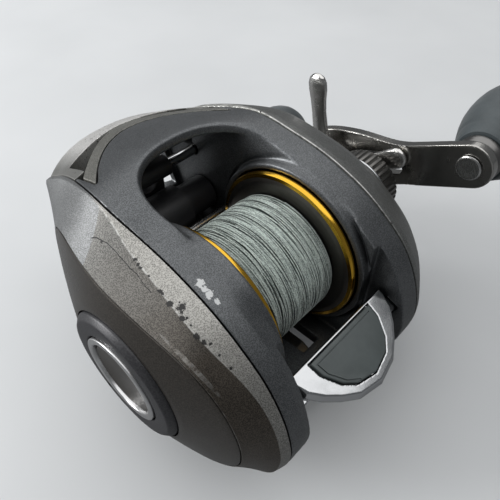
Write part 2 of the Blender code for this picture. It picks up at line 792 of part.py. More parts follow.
def gear_outline(teeth, module, centre, phase, flank):
    """Closed outline of a spur gear. A tooth's middle lies at the phase, in degrees."""
    pitch = module * teeth / 2.0
    base = pitch * math.cos(math.radians(20.0))
    root = pitch - 1.2 * module
    tip = pitch + 0.95 * module
    half = math.pi / (2.0 * teeth) - BACKLASH / (2.0 * pitch) + involute(math.radians(20.0))
    profile = []
    for i in range(flank):
        radius = root + (tip - root) * i / (flank - 1)
        lean = math.acos(min(1.0, base / radius))
        profile.append((radius, half - involute(lean)))
    outline = []
    for tooth in range(teeth):
        middle = math.radians(phase) + 2.0 * math.pi * tooth / teeth
        for radius, wide in profile:
            outline.append(polar(centre, radius, math.degrees(middle - wide)))
        for radius, wide in reversed(profile):
            outline.append(polar(centre, radius, math.degrees(middle + wide)))
    return outline


def mating_phase(teeth, partner_teeth, partner_phase, direction):
    """Phase of a gear whose gap faces the partner's tooth, seen along a direction in degrees."""
    ahead = (direction - partner_phase) / (360.0 / partner_teeth)
    shift = ahead - round(ahead)
    return direction + 180.0 + (shift + 0.5) * 360.0 / teeth


def make_drive_gear():
    gear = prism(gear_outline(DRIVE_TEETH, GEAR_MODULE, DRIVE_AXIS, DRIVE_ANGLE, 2), DRIVE_X,
                 DRIVE_X + GEAR_WIDTH)
    return cut(gear, cylinder(DRIVE_AXIS, 9.1, DRIVE_X + 1.4, DRIVE_X + GEAR_WIDTH + 1.0, sides=32),
               cylinder(DRIVE_AXIS, DRIVE_SHAFT_R + GAP, DRIVE_X - 1.0, DRIVE_X + 3.0, sides=SMALL))


def make_drag_washer():
    low = DRIVE_X + 1.7
    return tube(DRIVE_AXIS, DRIVE_SHAFT_R + GAP, 8.7, low, low + 1.1, sides=MIDDLE)


def make_pressure_plate():
    low = DRIVE_X + 3.2
    return turned([(low, DRIVE_SHAFT_R + GAP), (low, 8.9), (low + 0.8, 8.9), (low + 1.0, 4.0),
                   (36.4, 4.0), (36.4, DRIVE_SHAFT_R + GAP)], DRIVE_AXIS, sides=MIDDLE)


def make_clutch_ratchet():
    outline = []
    for i in range(10):
        outline.append(polar(DRIVE_AXIS, 8.2, 36.0 * i))
        outline.append(polar(DRIVE_AXIS, 7.9, 36.0 * i + 12.0))
        outline.append(polar(DRIVE_AXIS, 6.2, 36.0 * i + 14.0))
        outline.append(polar(DRIVE_AXIS, 6.2, 36.0 * i + 24.0))
    wheel = prism(outline, WEB_X + 0.4, WIND_X - GAP)
    return cut(wheel, cylinder(DRIVE_AXIS, DRIVE_SHAFT_R + GAP, WEB_X - 1.0, WIND_X + 1.0, sides=SMALL))


def make_wind_gear():
    gear = prism(gear_outline(WIND_TEETH, WIND_MODULE, DRIVE_AXIS, WORM_ANGLE, 2), WIND_X, WIND_X + WIND_WIDTH)
    cut(gear, cylinder(DRIVE_AXIS, DRIVE_SHAFT_R + GAP, WIND_X - 1.0, WIND_X + 3.0, sides=SMALL))
    return gear


def make_drive_shaft():
    tip = HANDLE_X + HANDLE_THICKNESS / 2.0 + 2.6
    return turned([(BAY_HALF + 1.3, 0.0), (BAY_HALF + 1.3, DRIVE_SHAFT_R), (tip, DRIVE_SHAFT_R), (tip, 0.0)],
                  DRIVE_AXIS)


def make_one_way_bearing():
    return tube(DRIVE_AXIS, 4.3, 6.2, 27.6, 32.8, sides=MIDDLE)


def make_pinion():
    bore = SHAFT_THIN_R + GAP
    phase = mating_phase(PINION_TEETH, DRIVE_TEETH, DRIVE_ANGLE, DRIVE_ANGLE + 180.0)
    teeth = gear_outline(PINION_TEETH, GEAR_MODULE, SPOOL_AXIS, phase, 3)
    low = WEB_X + 1.85
    pinion = prism(teeth, low, 25.2)
    neck = turned([(WEB_X - 0.35, bore), (WEB_X - 0.35, 2.5), (WEB_X + 0.2, 2.5), (WEB_X + 0.2, 1.82),
                   (29.4, 1.82), (29.4, bore)], sides=MIDDLE)
    cut(pinion, cylinder(SPOOL_AXIS, bore + 0.15, low - 1.0, 26.0, sides=MIDDLE))
    return join(pinion, neck)


def yoke_post_places():
    return ((-1.2, -10.0), (-1.2, 10.0))


def make_clutch_yoke():
    """Fork that slides the pinion. It rides on two posts above and below the shaft."""
    low = WEB_X + 0.45
    high = low + 1.2
    bar = prism([(-3.0, -12.2), (0.4, -12.2), (1.8, -5.0), (3.2, -3.4), (3.2, 3.4), (1.8, 5.0),
                 (0.4, 12.2), (-3.0, 12.2), (-4.6, 4.0), (-4.6, -4.0)], low, high)
    slot = prism([(5.0, -2.1), (5.0, 2.1)] + circle((0.0, 0.0), 2.1, 24)[6:19], low - 1.0, high + 1.0)
    cut(bar, slot)
    for spot in yoke_post_places():
        cut(bar, cylinder(spot, YOKE_POST_R + GAP, low - 1.0, high + 1.0))
    return bar


# ---------------------------------------------------------------- level wind

def make_worm_shaft():
    """Shaft with a crossed double thread, which carries the line guide to and fro."""
    length = 2.0 * (BAY_HALF - 1.0)
    pitch = length / WORM_TURNS
    sides = 8
    rows = 22
    rings = []
    low = -BAY_HALF - 1.3
    for x, radius in ((low, WORM_R), ):
        rings.append([Vector((x, *spot)) for spot in circle(WORM_AXIS, radius, sides)])
    for row in range(rows + 1):
        x = -length / 2.0 + length * row / rows
        ring = []
        for i in range(sides):
            angle = 360.0 * i / sides
            nearest = pitch
            for sign in (-1.0, 1.0):
                ahead = (x - sign * pitch * angle / 360.0) / pitch
                nearest = min(nearest, abs(ahead - round(ahead)) * pitch)
            depth = WORM_GROOVE * max(0.0, 1.0 - (nearest / 0.75) ** 2)
            if row in (0, rows):
                depth = 0.0
            ring.append(Vector((x, *polar(WORM_AXIS, WORM_R - depth, angle))))
        rings.append(ring)
    for x, radius in ((WEB_X + 0.3, WORM_R), (WEB_X + 0.3, 1.5), (WIND_X + WIND_WIDTH + 0.8, 1.5)):
        rings.append([Vector((x, *spot)) for spot in circle(WORM_AXIS, radius, sides)])
    return lofted(rings)


def make_worm_gear():
    phase = mating_phase(WORM_TEETH, WIND_TEETH, WORM_ANGLE, WORM_ANGLE)
    gear = prism(gear_outline(WORM_TEETH, WIND_MODULE, WORM_AXIS, phase, 3), WIND_X, WIND_X + WIND_WIDTH)
    return cut(gear, cylinder(WORM_AXIS, 1.5 + RUN_GAP, WIND_X - 1.0, WIND_X + 3.0, sides=SMALL))


def make_worm_cover():
    reach = BAY_HALF - GAP
    cover = tube(WORM_AXIS, TUBE_R - TUBE_WALL, TUBE_R, -reach, reach, sides=ROUND)
    y, z = WORM_AXIS
    slot = box((-reach + 1.2, y - 1.3, z - TUBE_R - 1.0), (reach - 1.2, y + 1.3, z - 1.0))
    return cut(cover, slot)


def make_rod(y, z, radius):
    reach = BAY_HALF + 0.4
    return turned([(-reach, 0.0), (-reach, radius), (reach, radius), (reach, 0.0)], (y, z), sides=14)


def make_line_guide():
    y, z = WORM_AXIS
    half = CARRIAGE_HALF
    bore = TUBE_R + GAP
    front = GUIDE_BAR_Y + 1.2
    guide = cylinder(WORM_AXIS, bore + 0.9, -half, half, sides=MIDDLE)
    plate = box((-half, front, z - 3.0), (half, front + 2.4, GUIDE_BAR_Z + 1.9))
    foot = box((-half + 0.2, y + 3.2, z - 3.2), (half - 0.2, front + 0.6, z + 1.6))
    lug = cylinder((GUIDE_BAR_Y, GUIDE_BAR_Z), 2.3, -half, half, sides=SMALL)
    soften(plate, 0.4)
    join(guide, plate, foot, lug)
    cut(guide, cylinder(WORM_AXIS, bore, -half - 1.0, half + 1.0, sides=MIDDLE),
        cylinder((GUIDE_BAR_Y, GUIDE_BAR_Z), GUIDE_BAR_R + GAP, -half - 1.0, half + 1.0, sides=14),
        cylinder((0.0, EYE_Z), EYE_R + 0.8 + GAP, front - 1.0, front + 4.0, 'Y', MIDDLE),
        cylinder((0.0, y), 1.0 + GAP, z - bore - 2.0, z - 2.0, 'Z', 12))
    return guide


def make_line_guide_eye():
    low = GUIDE_BAR_Y + 1.0
    return turned([(low, EYE_R + 0.4), (low, EYE_R + 0.8), (low + 3.0, EYE_R + 0.8),
                   (low + 3.0, EYE_R + 0.4), (low + 2.3, EYE_R), (low + 0.7, EYE_R)],
                  (0.0, EYE_Z), 'Y', MIDDLE)


def make_guide_pawl():
    y, z = WORM_AXIS
    top = z - WORM_R - 0.2
    return turned([(z - 6.0, 0.0), (z - 6.0, 1.0), (top - 0.8, 1.0), (top, 0.45), (top, 0.0)], (0.0, y), 'Z', 12)


def make_pawl_cap():
    y, z = WORM_AXIS
    low = z - 7.4
    return turned([(low, 0.0), (low, 1.6), (low + 0.3, 1.9), (z - 6.3, 1.9), (z - 6.3, 0.0)], (0.0, y), 'Z', SMALL + 2)


# ---------------------------------------------------------------- handle side

def cover_rings(inset, steps=1):
    """Rings of the handle cover from the seam out to its face."""
    outline = smooth_closed(BODY_OUTLINE, steps)
    centre = (5.0, -1.0)
    rings = []
    for share, stop in ((1.0, None), (0.96, 22.4), (0.9, 25.6), (0.82, 28.0), (0.72, COVER_FACE_X)):
        ring = []
        for spot in seam_ring(1.0, outline, 0.0):
            y = centre[0] + (spot.y - centre[0]) * share
            z = centre[1] + (spot.z - centre[1]) * share
            length = math.hypot(y - centre[0], z - centre[1])
            draw = 1.0 - inset / length
            x = spot.x if stop is None else stop - (BODY_HALF - spot.x) * 0.6 * (1.0 - inset / 4.0)
            ring.append(Vector((x, centre[0] + (y - centre[0]) * draw, centre[1] + (z - centre[1]) * draw)))
        rings.append(ring)
    return rings


def make_handle_cover():
    cover = lofted(cover_rings(0.0))
    hollow = cover_rings(1.6, 1)
    for spot in hollow[0]:
        spot.x = 15.0
    for spot in hollow[3]:
        spot.x -= 1.2
    for spot in hollow[4]:
        spot.x = COVER_FACE_X - 1.7
    cut(cover, lofted(hollow))
    join(cover, cylinder(SPOOL_AXIS, 6.3, 25.0, 29.0, sides=MIDDLE),
         turned([(27.0, 0.0), (27.0, 10.2), (32.6, 9.4), (34.4, 8.8), (34.4, 0.0)], SPOOL_AXIS, sides=ROUND),
         turned([(26.0, 0.0), (26.0, 7.6), (30.0, 7.9), (32.6, 7.6), (33.5, 6.8), (33.5, 0.0)],
                DRIVE_AXIS, sides=MIDDLE),
         cylinder(SPOOL_AXIS, 6.4, 34.0, 38.2, sides=MIDDLE))
    return cut(cover, cylinder(SPOOL_AXIS, 5.05, 24.0, 30.1, sides=MIDDLE),
               cylinder(SPOOL_AXIS, 2.4, 26.0, 40.0, sides=SMALL),
               cylinder(SPOOL_AXIS, BEARING_R + RUN_GAP, 34.7, 40.0, sides=MIDDLE),
               cylinder(DRIVE_AXIS, 6.5, 24.0, 33.0, sides=MIDDLE),
               cylinder(DRIVE_AXIS, 4.4, 24.0, 40.0, sides=MIDDLE),
               *[cylinder(spot, 2.2, COVER_FACE_X - 0.8, COVER_FACE_X + 4.0, sides=SMALL + 2)
                 for spot in cover_screw_places()],
               *[cylinder(spot, 1.4, 20.0, COVER_FACE_X + 4.0) for spot in cover_screw_places()])


def ridged_ring(x, radius, depth):
    ring = []
    for i in range(CAP_RIDGES):
        for share, drop in ((0.0, 0.0), (0.5, 0.0), (0.75, depth)):
            ring.append(Vector((x, *polar(SPOOL_AXIS, radius - drop, 360.0 * (i + share) / CAP_RIDGES))))
    return ring


def make_cast_control_cap():
    start = CAP_START_X + 0.2
    cap = lofted([ridged_ring(start, CAP_R - 0.4, 0.0), ridged_ring(start + 0.5, CAP_R, 0.5),
                  ridged_ring(CAP_END_X - 0.7, CAP_R, 0.5), ridged_ring(CAP_END_X, CAP_R - 0.8, 0.1)])
    return cut(cap, cylinder(SPOOL_AXIS, 6.7, start - 1.0, 38.8, sides=MIDDLE))


def make_cap_collar():
    return turned([(34.7, 6.7), (34.7, 8.8), (35.1, 8.8), (35.3, 8.5), (35.3, 6.7)], sides=ROUND)


def star_arm(turn):
    """One arm of the star: a blade that narrows, then swells to a rounded tip."""
    way = Vector((0.0, math.cos(math.radians(turn)), math.sin(math.radians(turn))))
    side = Vector((0.0, -way.z, way.y))
    hub = Vector((STAR_ARM_X + 0.9, *DRIVE_AXIS))
    rings = []
    for share, wide, thick, lift in ((0.13, 3.2, 0.9, 0.0), (0.38, 2.6, 0.85, 0.0), (0.62, 2.1, 0.85, 0.1),
                                     (0.86, 2.6, 1.0, 0.6), (0.96, 2.0, 0.85, 0.6), (1.0, 0.9, 0.4, 0.6)):
        middle = hub + way * (STAR_ARM_R * share) + Vector((lift, 0.0, 0.0))
        rings.append([middle + side * a * wide + Vector((b * thick, 0.0, 0.0))
                      for a, b in circle((0.0, 0.0), 1.0, 6, 0.0)])
    return lofted(rings)


def make_star_drag():
    hub = turned([(36.8, 0.0), (36.8, 5.2), (41.3, 5.2), (41.5, 5.8), (43.0, 5.8), (43.3, 0.0)],
                 DRIVE_AXIS, sides=MIDDLE)
    join(hub, *[star_arm(STAR_ANGLE + 360.0 * i / STAR_ARMS) for i in range(STAR_ARMS)])
    return cut(hub, cylinder(DRIVE_AXIS, DRIVE_SHAFT_R + GAP, 36.0, 45.0, sides=SMALL))


def handle_spot(run, across, x):
    """Point on the handle: run along it from the hub towards the first knob."""
    turn = math.radians(HANDLE_ANGLE)
    return Vector((x, DRIVE_AXIS[0] + run * math.cos(turn) - across * math.sin(turn),
                   DRIVE_AXIS[1] + run * math.sin(turn) + across * math.cos(turn)))


def handle_x(run):
    return HANDLE_X - HANDLE_CRANK * smooth_step((abs(run) - 9.0) / 17.0)


def handle_half(run):
    """Half width of the arm at a distance from the hub."""
    run = abs(run)
    waist = HANDLE_END_R - 0.1
    if run > HANDLE_HALF:
        return math.sqrt(max(0.3, HANDLE_END_R ** 2 - (run - HANDLE_HALF) ** 2))
    return waist + (HANDLE_HUB_R - waist) * (1.0 - smooth_step(run / HANDLE_TAPER)) + 0.1 * run / HANDLE_HALF


def make_handle_arm():
    tip = HANDLE_HALF + HANDLE_END_R
    runs = [0.0, 5.0, 9.0, 13.0, 17.0, 21.0, 26.0, HANDLE_HALF]
    runs += [HANDLE_HALF + HANDLE_END_R * share for share in (0.35, 0.68, 0.9, 0.985)]
    runs = [-run for run in reversed(runs[1:])] + runs
    half = HANDLE_THICKNESS / 2.0
    rings = []
    for run in runs:
        x = handle_x(run)
        wide = handle_half(min(abs(run), tip))
        rings.append([handle_spot(run, -wide, x - half), handle_spot(run, wide, x - half),
                      handle_spot(run, wide, x + half), handle_spot(run, -wide, x + half)])
    arm = lofted(rings)
    for side in (-1, 1):
        window = []
        for run, across in ((8.6, -2.0), (9.6, -2.9), (20.4, -2.3), (21.4, -1.4),
                            (21.4, 1.4), (20.4, 2.3), (9.6, 2.9), (8.6, 2.0)):
            window.append(handle_spot(side * run, across, 0.0).yz)
        cut(arm, prism([tuple(spot) for spot in window], 38.0, 56.0))
        cut(arm, cylinder(handle_spot(side * HANDLE_HALF, 0.0, 0.0).yz, KNOB_PIN_R + GAP, 38.0, 56.0))
    return cut(arm, cylinder(DRIVE_AXIS, DRIVE_SHAFT_R + GAP, 38.0, 56.0, sides=SMALL))


def make_handle_nut():
    low = HANDLE_X + HANDLE_THICKNESS / 2.0 + GAP
    nut = turned([(low, 0.0), (low, 5.6), (low + 0.7, 5.6), (low + 0.8, 4.7), (low + 3.4, 4.7),
                  (low + 3.8, 4.2), (low + 3.8, 0.0)], DRIVE_AXIS, sides=6)
    return cut(nut, cylinder(DRIVE_AXIS, DRIVE_SHAFT_R + GAP, low - 1.0, low + 2.7, sides=SMALL))


def make_nut_retainer():
    """Small cap plate that keeps the handle nut from turning, with its screw beside it."""
    low = HANDLE_X + HANDLE_THICKNESS / 2.0 + 0.5
    top = low + 3.9
    outline = [tuple(handle_spot(run, across, 0.0).yz) for run, across in
               ((-4.6, -3.0), (-2.6, -5.0), (2.4, -5.0), (9.6, -1.9), (10.6, 0.0), (9.6, 1.9),
                (2.4, 5.0), (-2.6, 5.0), (-4.6, 3.0), (-5.2, 0.0))]
    plate = soften(prism(outline, top, top + 0.9), 0.25)
    post = cylinder(handle_spot(7.4, 0.0, 0.0).yz, 1.3, low - 0.2, top + 0.4, sides=14)
    return join(plate, post)


def make_knob_pin(side):
    spot = handle_spot(side * HANDLE_HALF, 0.0, 0.0).yz
    face = handle_x(HANDLE_HALF) - HANDLE_THICKNESS / 2.0
    return turned([(face - 0.8, 0.0), (face - 0.8, 2.2), (face - 0.55, 2.5), (face - GAP, 2.5),
                   (face - GAP, KNOB_PIN_R), (face + 21.0, KNOB_PIN_R), (face + 21.0, 0.0)], spot)


def make_knob_collar(side):
    spot = handle_spot(side * HANDLE_HALF, 0.0, 0.0).yz
    face = handle_x(HANDLE_HALF) + HANDLE_THICKNESS / 2.0
    return turned([(face + GAP, KNOB_PIN_R + GAP), (face + GAP, 4.6), (face + 1.6, 5.0),
                   (face + 2.4, 5.0), (face + 2.4, KNOB_PIN_R + GAP)], spot, sides=MIDDLE)


def make_knob(side):
    spot = handle_spot(side * HANDLE_HALF, 0.0, 0.0).yz
    low = handle_x(HANDLE_HALF) + HANDLE_THICKNESS / 2.0 + 2.7
    profile = [(low, KNOB_PIN_R + GAP)]
    for share, wide in ((0.0, 0.6), (0.05, 0.67), (0.25, 0.87), (0.45, 0.98), (0.6, 1.0),
                        (0.76, 0.95), (0.9, 0.77), (0.985, 0.42)):
        profile.append((low + KNOB_LENGTH * share, KNOB_R * wide))
    recess = low + KNOB_LENGTH * 0.985
    profile += [(recess, 3.7), (recess - 1.8, 3.7), (recess - 1.8, KNOB_PIN_R + GAP)]
    return turned(profile, spot, sides=MIDDLE + 6)


def make_knob_cap(side):
    spot = handle_spot(side * HANDLE_HALF, 0.0, 0.0).yz
    top = handle_x(HANDLE_HALF) + HANDLE_THICKNESS / 2.0 + 2.7 + KNOB_LENGTH * 0.985
    return turned([(top - 1.5, 0.0), (top - 1.5, 3.4), (top - 0.1, 3.4), (top + 0.2, 3.0), (top + 0.35, 0.0)],
                  spot, sides=MIDDLE)


def cover_screw_places():
    return ((22.0, 7.0), (-14.5, -8.5))


def make_cover_screw(spot):
    """Screw of the handle cover, sunk in its face."""
    low = COVER_FACE_X - 3.3
    return turned([(low, 0.0), (low, 1.1), (low + 2.6, 1.1), (low + 2.6, 1.9), (COVER_FACE_X, 1.7),
                   (COVER_FACE_X, 0.6), (COVER_FACE_X - 0.6, 0.0)], spot, sides=SMALL + 2)


# ---------------------------------------------------------------- thumb bar

def thumb_outline(half, depth, start):
    """Rounded outline in the bar's own plane: wide in front, narrow behind."""
    right = [(half, start), (half, 0.13 * depth), (0.935 * half, 0.34 * depth),
             (0.785 * half, 0.55 * depth), (0.595 * half, 0.74 * depth), (0.37 * half, 0.91 * depth)]
    return right + [(0.0, depth)] + [(-x, v) for x, v in reversed(right)]


def pad_outline(grow):
    half = PAD_HALF + grow
    start = PAD_START - grow
    reach = PAD_DEPTH + grow - start
    right = [(half, start), (0.965 * half, start + 0.31 * reach), (0.744 * half, start + 0.68 * reach),
             (0.49 * half, start + 0.885 * reach)]
    return right + [(0.0, start + reach)] + [(-x, v) for x, v in reversed(right)]


def thumb_prism(outline, low, high):
    return lofted([[thumb_point(x, v, w) for x, v in outline] for w in (low, high)])


def make_thumb_bar():
    """Bar with bevelled edges, a pocket for the pad, and a tab at each end."""
    rings = []
    for w, inset, start in ((0.0, 0.9, 0.25), (-1.2, 0.0, 0.1), (-THUMB_HEIGHT, 0.9, 1.2)):
        outline = thumb_outline(THUMB_HALF - inset, THUMB_DEPTH - inset, start)
        rings.append([thumb_point(x, v, w) for x, v in outline])
    bar = lofted(rings)
    for side in (-1, 1):
        join(bar, thumb_block((side * (THUMB_HALF - 3.0), TAB_FRONT, TAB_LOW),
                              (side * (REAR_HALF + TAB_REACH), TAB_BACK, TAB_HIGH)))
    return cut(bar, thumb_prism(pad_outline(GAP), -PAD_THICKNESS, 2.0))


def make_thumb_pad():
    return soften(thumb_prism(pad_outline(0.0), GAP - PAD_THICKNESS, 0.35), 0.2, 30.0)


# ---------------------------------------------------------------- foot

def make_reel_foot():
    top = FLOOR_Z - GAP
    bottom = -AXIS_HEIGHT
    tip = bottom + FOOT_TIP
    side = [(FOOT_REAR_Y, bottom), (FOOT_FRONT_Y, bottom), (FOOT_FRONT_Y, tip), (17.0, top), (-10.0, top),
            (FOOT_REAR_Y, tip)]
    foot = prism(side, -FOOT_HALF, FOOT_HALF)
    plan = [(FOOT_HALF, -10.0), (FOOT_HALF, 16.0), (FOOT_HALF - 1.2, FOOT_FRONT_Y - 3.0),
            (FOOT_HALF - 3.0, FOOT_FRONT_Y), (3.0 - FOOT_HALF, FOOT_FRONT_Y),
            (1.2 - FOOT_HALF, FOOT_FRONT_Y - 3.0), (-FOOT_HALF, 16.0), (-FOOT_HALF, -10.0),
            (1.2 - FOOT_HALF, FOOT_REAR_Y + 3.0), (3.0 - FOOT_HALF, FOOT_REAR_Y),
            (FOOT_HALF - 3.0, FOOT_REAR_Y), (FOOT_HALF - 1.2, FOOT_REAR_Y + 3.0)]
    keep(foot, prism(plan, bottom - 1.0, top + 1.0, 'Z'))
    for y in foot_screw_places():
        cut(foot, turned([(bottom - 1.0, 0.0), (bottom - 1.0, 2.9), (bottom + 1.1, 2.9),
                          (bottom + 1.1, FOOT_SCREW_R + RUN_GAP), (top + 1.0, FOOT_SCREW_R + RUN_GAP),
                          (top + 1.0, 0.0)], (0.0, y), 'Z', SMALL + 2))
    return foot


def foot_screw_places():
    return (FOOT_REAR_Y + 12.0, FOOT_FRONT_Y - 23.0)


def make_foot_screw(y):
    bottom = -AXIS_HEIGHT
    return turned([(bottom + 0.15, 0.0), (bottom + 0.15, 2.2), (bottom + 0.4, 2.6),
                   (bottom + 0.8, 2.6), (bottom + 0.8, FOOT_SCREW_R),
                   (FLOOR_Z + 1.9, FOOT_SCREW_R), (FLOOR_Z + 1.9, 0.0)], (0.0, y), 'Z', SMALL + 2)


# ---------------------------------------------------------------- assembly

COLOURS = {
    "frame_grey": ((0.085, 0.09, 0.10), 0.45, 0.6),
    "trim_bronze": ((0.20, 0.195, 0.17), 0.42, 0.8),
    "worn_silver": ((0.42, 0.41, 0.38), 0.35, 0.9),
    "panel_dark": ((0.065, 0.062, 0.058), 0.28, 0.6),
    "dial_black": ((0.06, 0.06, 0.065), 0.35, 0.5),
    "satin_ring": ((0.52, 0.52, 0.52), 0.3, 1.0),
    "gold": ((0.72, 0.42, 0.05), 0.22, 1.0),
    "spool_dark": ((0.11, 0.11, 0.11), 0.22, 0.9),
    "steel": ((0.55, 0.55, 0.54), 0.25, 1.0),
    "dark_steel": ((0.20, 0.20, 0.20), 0.35, 0.9),
    "brass": ((0.60, 0.45, 0.18), 0.3, 1.0),
    "line_green": ((0.22, 0.29, 0.26), 0.8, 0.0),
    "chrome": ((0.68, 0.69, 0.70), 0.12, 1.0),
    "dark_nickel": ((0.20, 0.19, 0.175), 0.22, 1.0),
    "pad_green": ((0.085, 0.10, 0.10), 0.55, 0.0),
    "knob_slate": ((0.045, 0.052, 0.056), 0.55, 0.0),
    "black_plastic": ((0.02, 0.02, 0.022), 0.5, 0.0),
    "magnet": ((0.45, 0.45, 0.47), 0.3, 1.0),
    "ceramic": ((0.10, 0.10, 0.11), 0.15, 0.0),
    "carbon": ((0.04, 0.04, 0.045), 0.6, 0.0)}


def seat(item, name, finish, pivot=(0.0, 0.0, 0.0)):
    """Name a piece, bring it to metres and put its origin on the pivot."""
    pivot = Vector(pivot)
    item.data.transform(Matrix.Translation(-pivot))
    item.data.transform(Matrix.Scale(MM, 4))
    item.location = (pivot + Vector((0.0, 0.0, AXIS_HEIGHT))) * MM
    item.name = name
    item.data.name = name
    item.data.materials.clear()
    item.data.materials.append(finish)
    item.data.shade_smooth()
    item.data.set_sharp_from_angle(angle=math.radians(32.0))
    return item


def main():
    clear_scene()
    finish = {name: material(name, *look) for name, look in COLOURS.items()}
    drive = (0.0, *DRIVE_AXIS)
    worm = (0.0, *WORM_AXIS)
    carriage = (0.0, GUIDE_BAR_Y, GUIDE_BAR_Z)
    thumb = thumb_point(0.0, 0.0, 0.0)

    seat(make_frame(), "frame", finish["frame_grey"])
    seat(make_front_trim(), "front_trim", finish["trim_bronze"])
    seat(make_nose_bar(), "nose_bar", finish["worn_silver"])
    seat(make_palm_cover(), "palm_cover", finish["trim_bronze"])
    seat(make_palm_panel(), "palm_panel", finish["panel_dark"])
    seat(make_side_inlay(), "side_inlay", finish["gold"])
    seat(make_brake_dial(), "brake_dial", finish["dial_black"])
    seat(make_dial_ring(), "dial_ring", finish["satin_ring"])
    seat(make_dial_centre(), "dial_centre", finish["panel_dark"])
    seat(make_brake_base(), "brake_base", finish["black_plastic"])
    seat(make_brake_carrier(), "brake_carrier", finish["black_plastic"])
    seat(make_brake_magnets(), "brake_magnets", finish["magnet"])

    seat(make_spool(), "spool", finish["spool_dark"])
    seat(make_spool_shaft(), "spool_shaft", finish["steel"])
    seat(make_line_core(), "line_core", finish["line_green"])
    seat(make_line_winding(), "line_winding", finish["line_green"])
    low = BRAKE_BASE_X - BRAKE_BASE_WALL - GAP - BEARING_WIDTH
    seat(make_bearing(SHAFT_R + RUN_GAP, SPOOL_AXIS, low), "spool_bearing_palm", finish["steel"])
    seat(make_bearing(SHAFT_R + RUN_GAP, SPOOL_AXIS, BAY_HALF + 0.1), "spool_bearing_gear", finish["steel"])
    seat(make_bearing(1.82 + RUN_GAP, SPOOL_AXIS, 27.4), "pinion_bearing", finish["steel"])
    seat(make_bearing(SHAFT_THIN_R + RUN_GAP, SPOOL_AXIS, 35.0), "cap_bearing", finish["steel"])

    seat(make_drive_gear(), "drive_gear", finish["brass"], drive)
    seat(make_drag_washer(), "drag_washer", finish["carbon"], drive)
    seat(make_pressure_plate(), "pressure_plate", finish["steel"], drive)
    seat(make_clutch_ratchet(), "clutch_ratchet", finish["dark_steel"], drive)
    seat(make_wind_gear(), "wind_gear", finish["black_plastic"], drive)
    seat(make_drive_shaft(), "drive_shaft", finish["steel"], drive)
    seat(make_one_way_bearing(), "one_way_bearing", finish["dark_steel"], drive)
    seat(make_pinion(), "pinion", finish["brass"])
    seat(make_clutch_yoke(), "clutch_yoke", finish["black_plastic"])

    seat(make_worm_shaft(), "worm_shaft", finish["steel"], worm)
    seat(make_worm_gear(), "worm_gear", finish["black_plastic"], worm)
    seat(make_worm_cover(), "worm_cover", finish["black_plastic"], worm)
    seat(make_rod(GUIDE_BAR_Y, GUIDE_BAR_Z, GUIDE_BAR_R), "guide_bar", finish["chrome"])
    seat(make_rod(REAR_ROD_Y, REAR_ROD_Z, REAR_ROD_R), "rear_rod", finish["steel"])
    seat(make_line_guide(), "line_guide", finish["black_plastic"], carriage)
    seat(make_line_guide_eye(), "line_guide_eye", finish["ceramic"], carriage)
    seat(make_guide_pawl(), "guide_pawl", finish["steel"], carriage)
    seat(make_pawl_cap(), "pawl_cap", finish["brass"], carriage)

    seat(make_handle_cover(), "handle_cover", finish["trim_bronze"])
    for number, spot in enumerate(cover_screw_places(), 1):
        seat(make_cover_screw(spot), "cover_screw_%d" % number, finish["dark_steel"])
    seat(make_cast_control_cap(), "cast_control_cap", finish["dark_nickel"])
    seat(make_cap_collar(), "cap_collar", finish["chrome"])
    seat(make_star_drag(), "star_drag", finish["dark_nickel"], drive)
    seat(make_handle_arm(), "handle_arm", finish["dark_nickel"], drive)
    seat(make_handle_nut(), "handle_nut", finish["dark_steel"], drive)
    seat(make_nut_retainer(), "nut_retainer", finish["dark_nickel"], drive)
    for number, side in ((1, 1), (2, -1)):
        spot = handle_spot(side * HANDLE_HALF, 0.0, handle_x(HANDLE_HALF))
        seat(make_knob(side), "knob_%d" % number, finish["knob_slate"], spot)
        seat(make_knob_collar(side), "knob_%d_collar" % number, finish["dark_steel"], spot)
        seat(make_knob_cap(side), "knob_%d_cap" % number, finish["dark_nickel"], spot)
        seat(make_knob_pin(side), "knob_%d_pin" % number, finish["steel"], spot)

    seat(make_thumb_bar(), "thumb_bar", finish["chrome"], thumb)
    seat(make_thumb_pad(), "thumb_pad", finish["pad_green"], thumb)
    seat(make_reel_foot(), "reel_foot", finish["dark_nickel"])
    for number, y in enumerate(foot_screw_places(), 1):
        seat(make_foot_screw(y), "foot_screw_%d" % number, finish["steel"])


main()
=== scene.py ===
"""Looks of the baitcasting reel: finer forms, finishes, studio stage and camera.

Forms are made in millimetres in the reel's own frame (origin on the spool's axis, +X to the
handle, +Y to the rod tip, +Z up), and put() brings them to metres in the CAD frame.
"""
import math

import bpy
import bmesh
from mathutils import Matrix, Vector


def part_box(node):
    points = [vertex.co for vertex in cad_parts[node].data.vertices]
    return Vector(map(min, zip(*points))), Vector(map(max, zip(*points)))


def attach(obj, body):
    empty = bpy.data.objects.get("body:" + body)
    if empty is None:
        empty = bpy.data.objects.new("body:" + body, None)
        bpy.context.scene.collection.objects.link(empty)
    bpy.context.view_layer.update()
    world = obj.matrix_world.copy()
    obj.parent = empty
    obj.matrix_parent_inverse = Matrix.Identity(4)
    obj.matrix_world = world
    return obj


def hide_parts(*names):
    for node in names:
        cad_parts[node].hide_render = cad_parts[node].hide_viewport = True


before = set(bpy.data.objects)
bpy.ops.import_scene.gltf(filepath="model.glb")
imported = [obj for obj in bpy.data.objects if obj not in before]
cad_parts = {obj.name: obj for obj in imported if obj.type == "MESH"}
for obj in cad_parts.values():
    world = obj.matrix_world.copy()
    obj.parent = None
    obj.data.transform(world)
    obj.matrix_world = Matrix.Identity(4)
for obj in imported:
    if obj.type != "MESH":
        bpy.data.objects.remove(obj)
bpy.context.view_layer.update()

MM = 0.001
GAP = 0.3                       # room between pieces that move or were fitted
SHARP_ANGLE = math.radians(32.0)
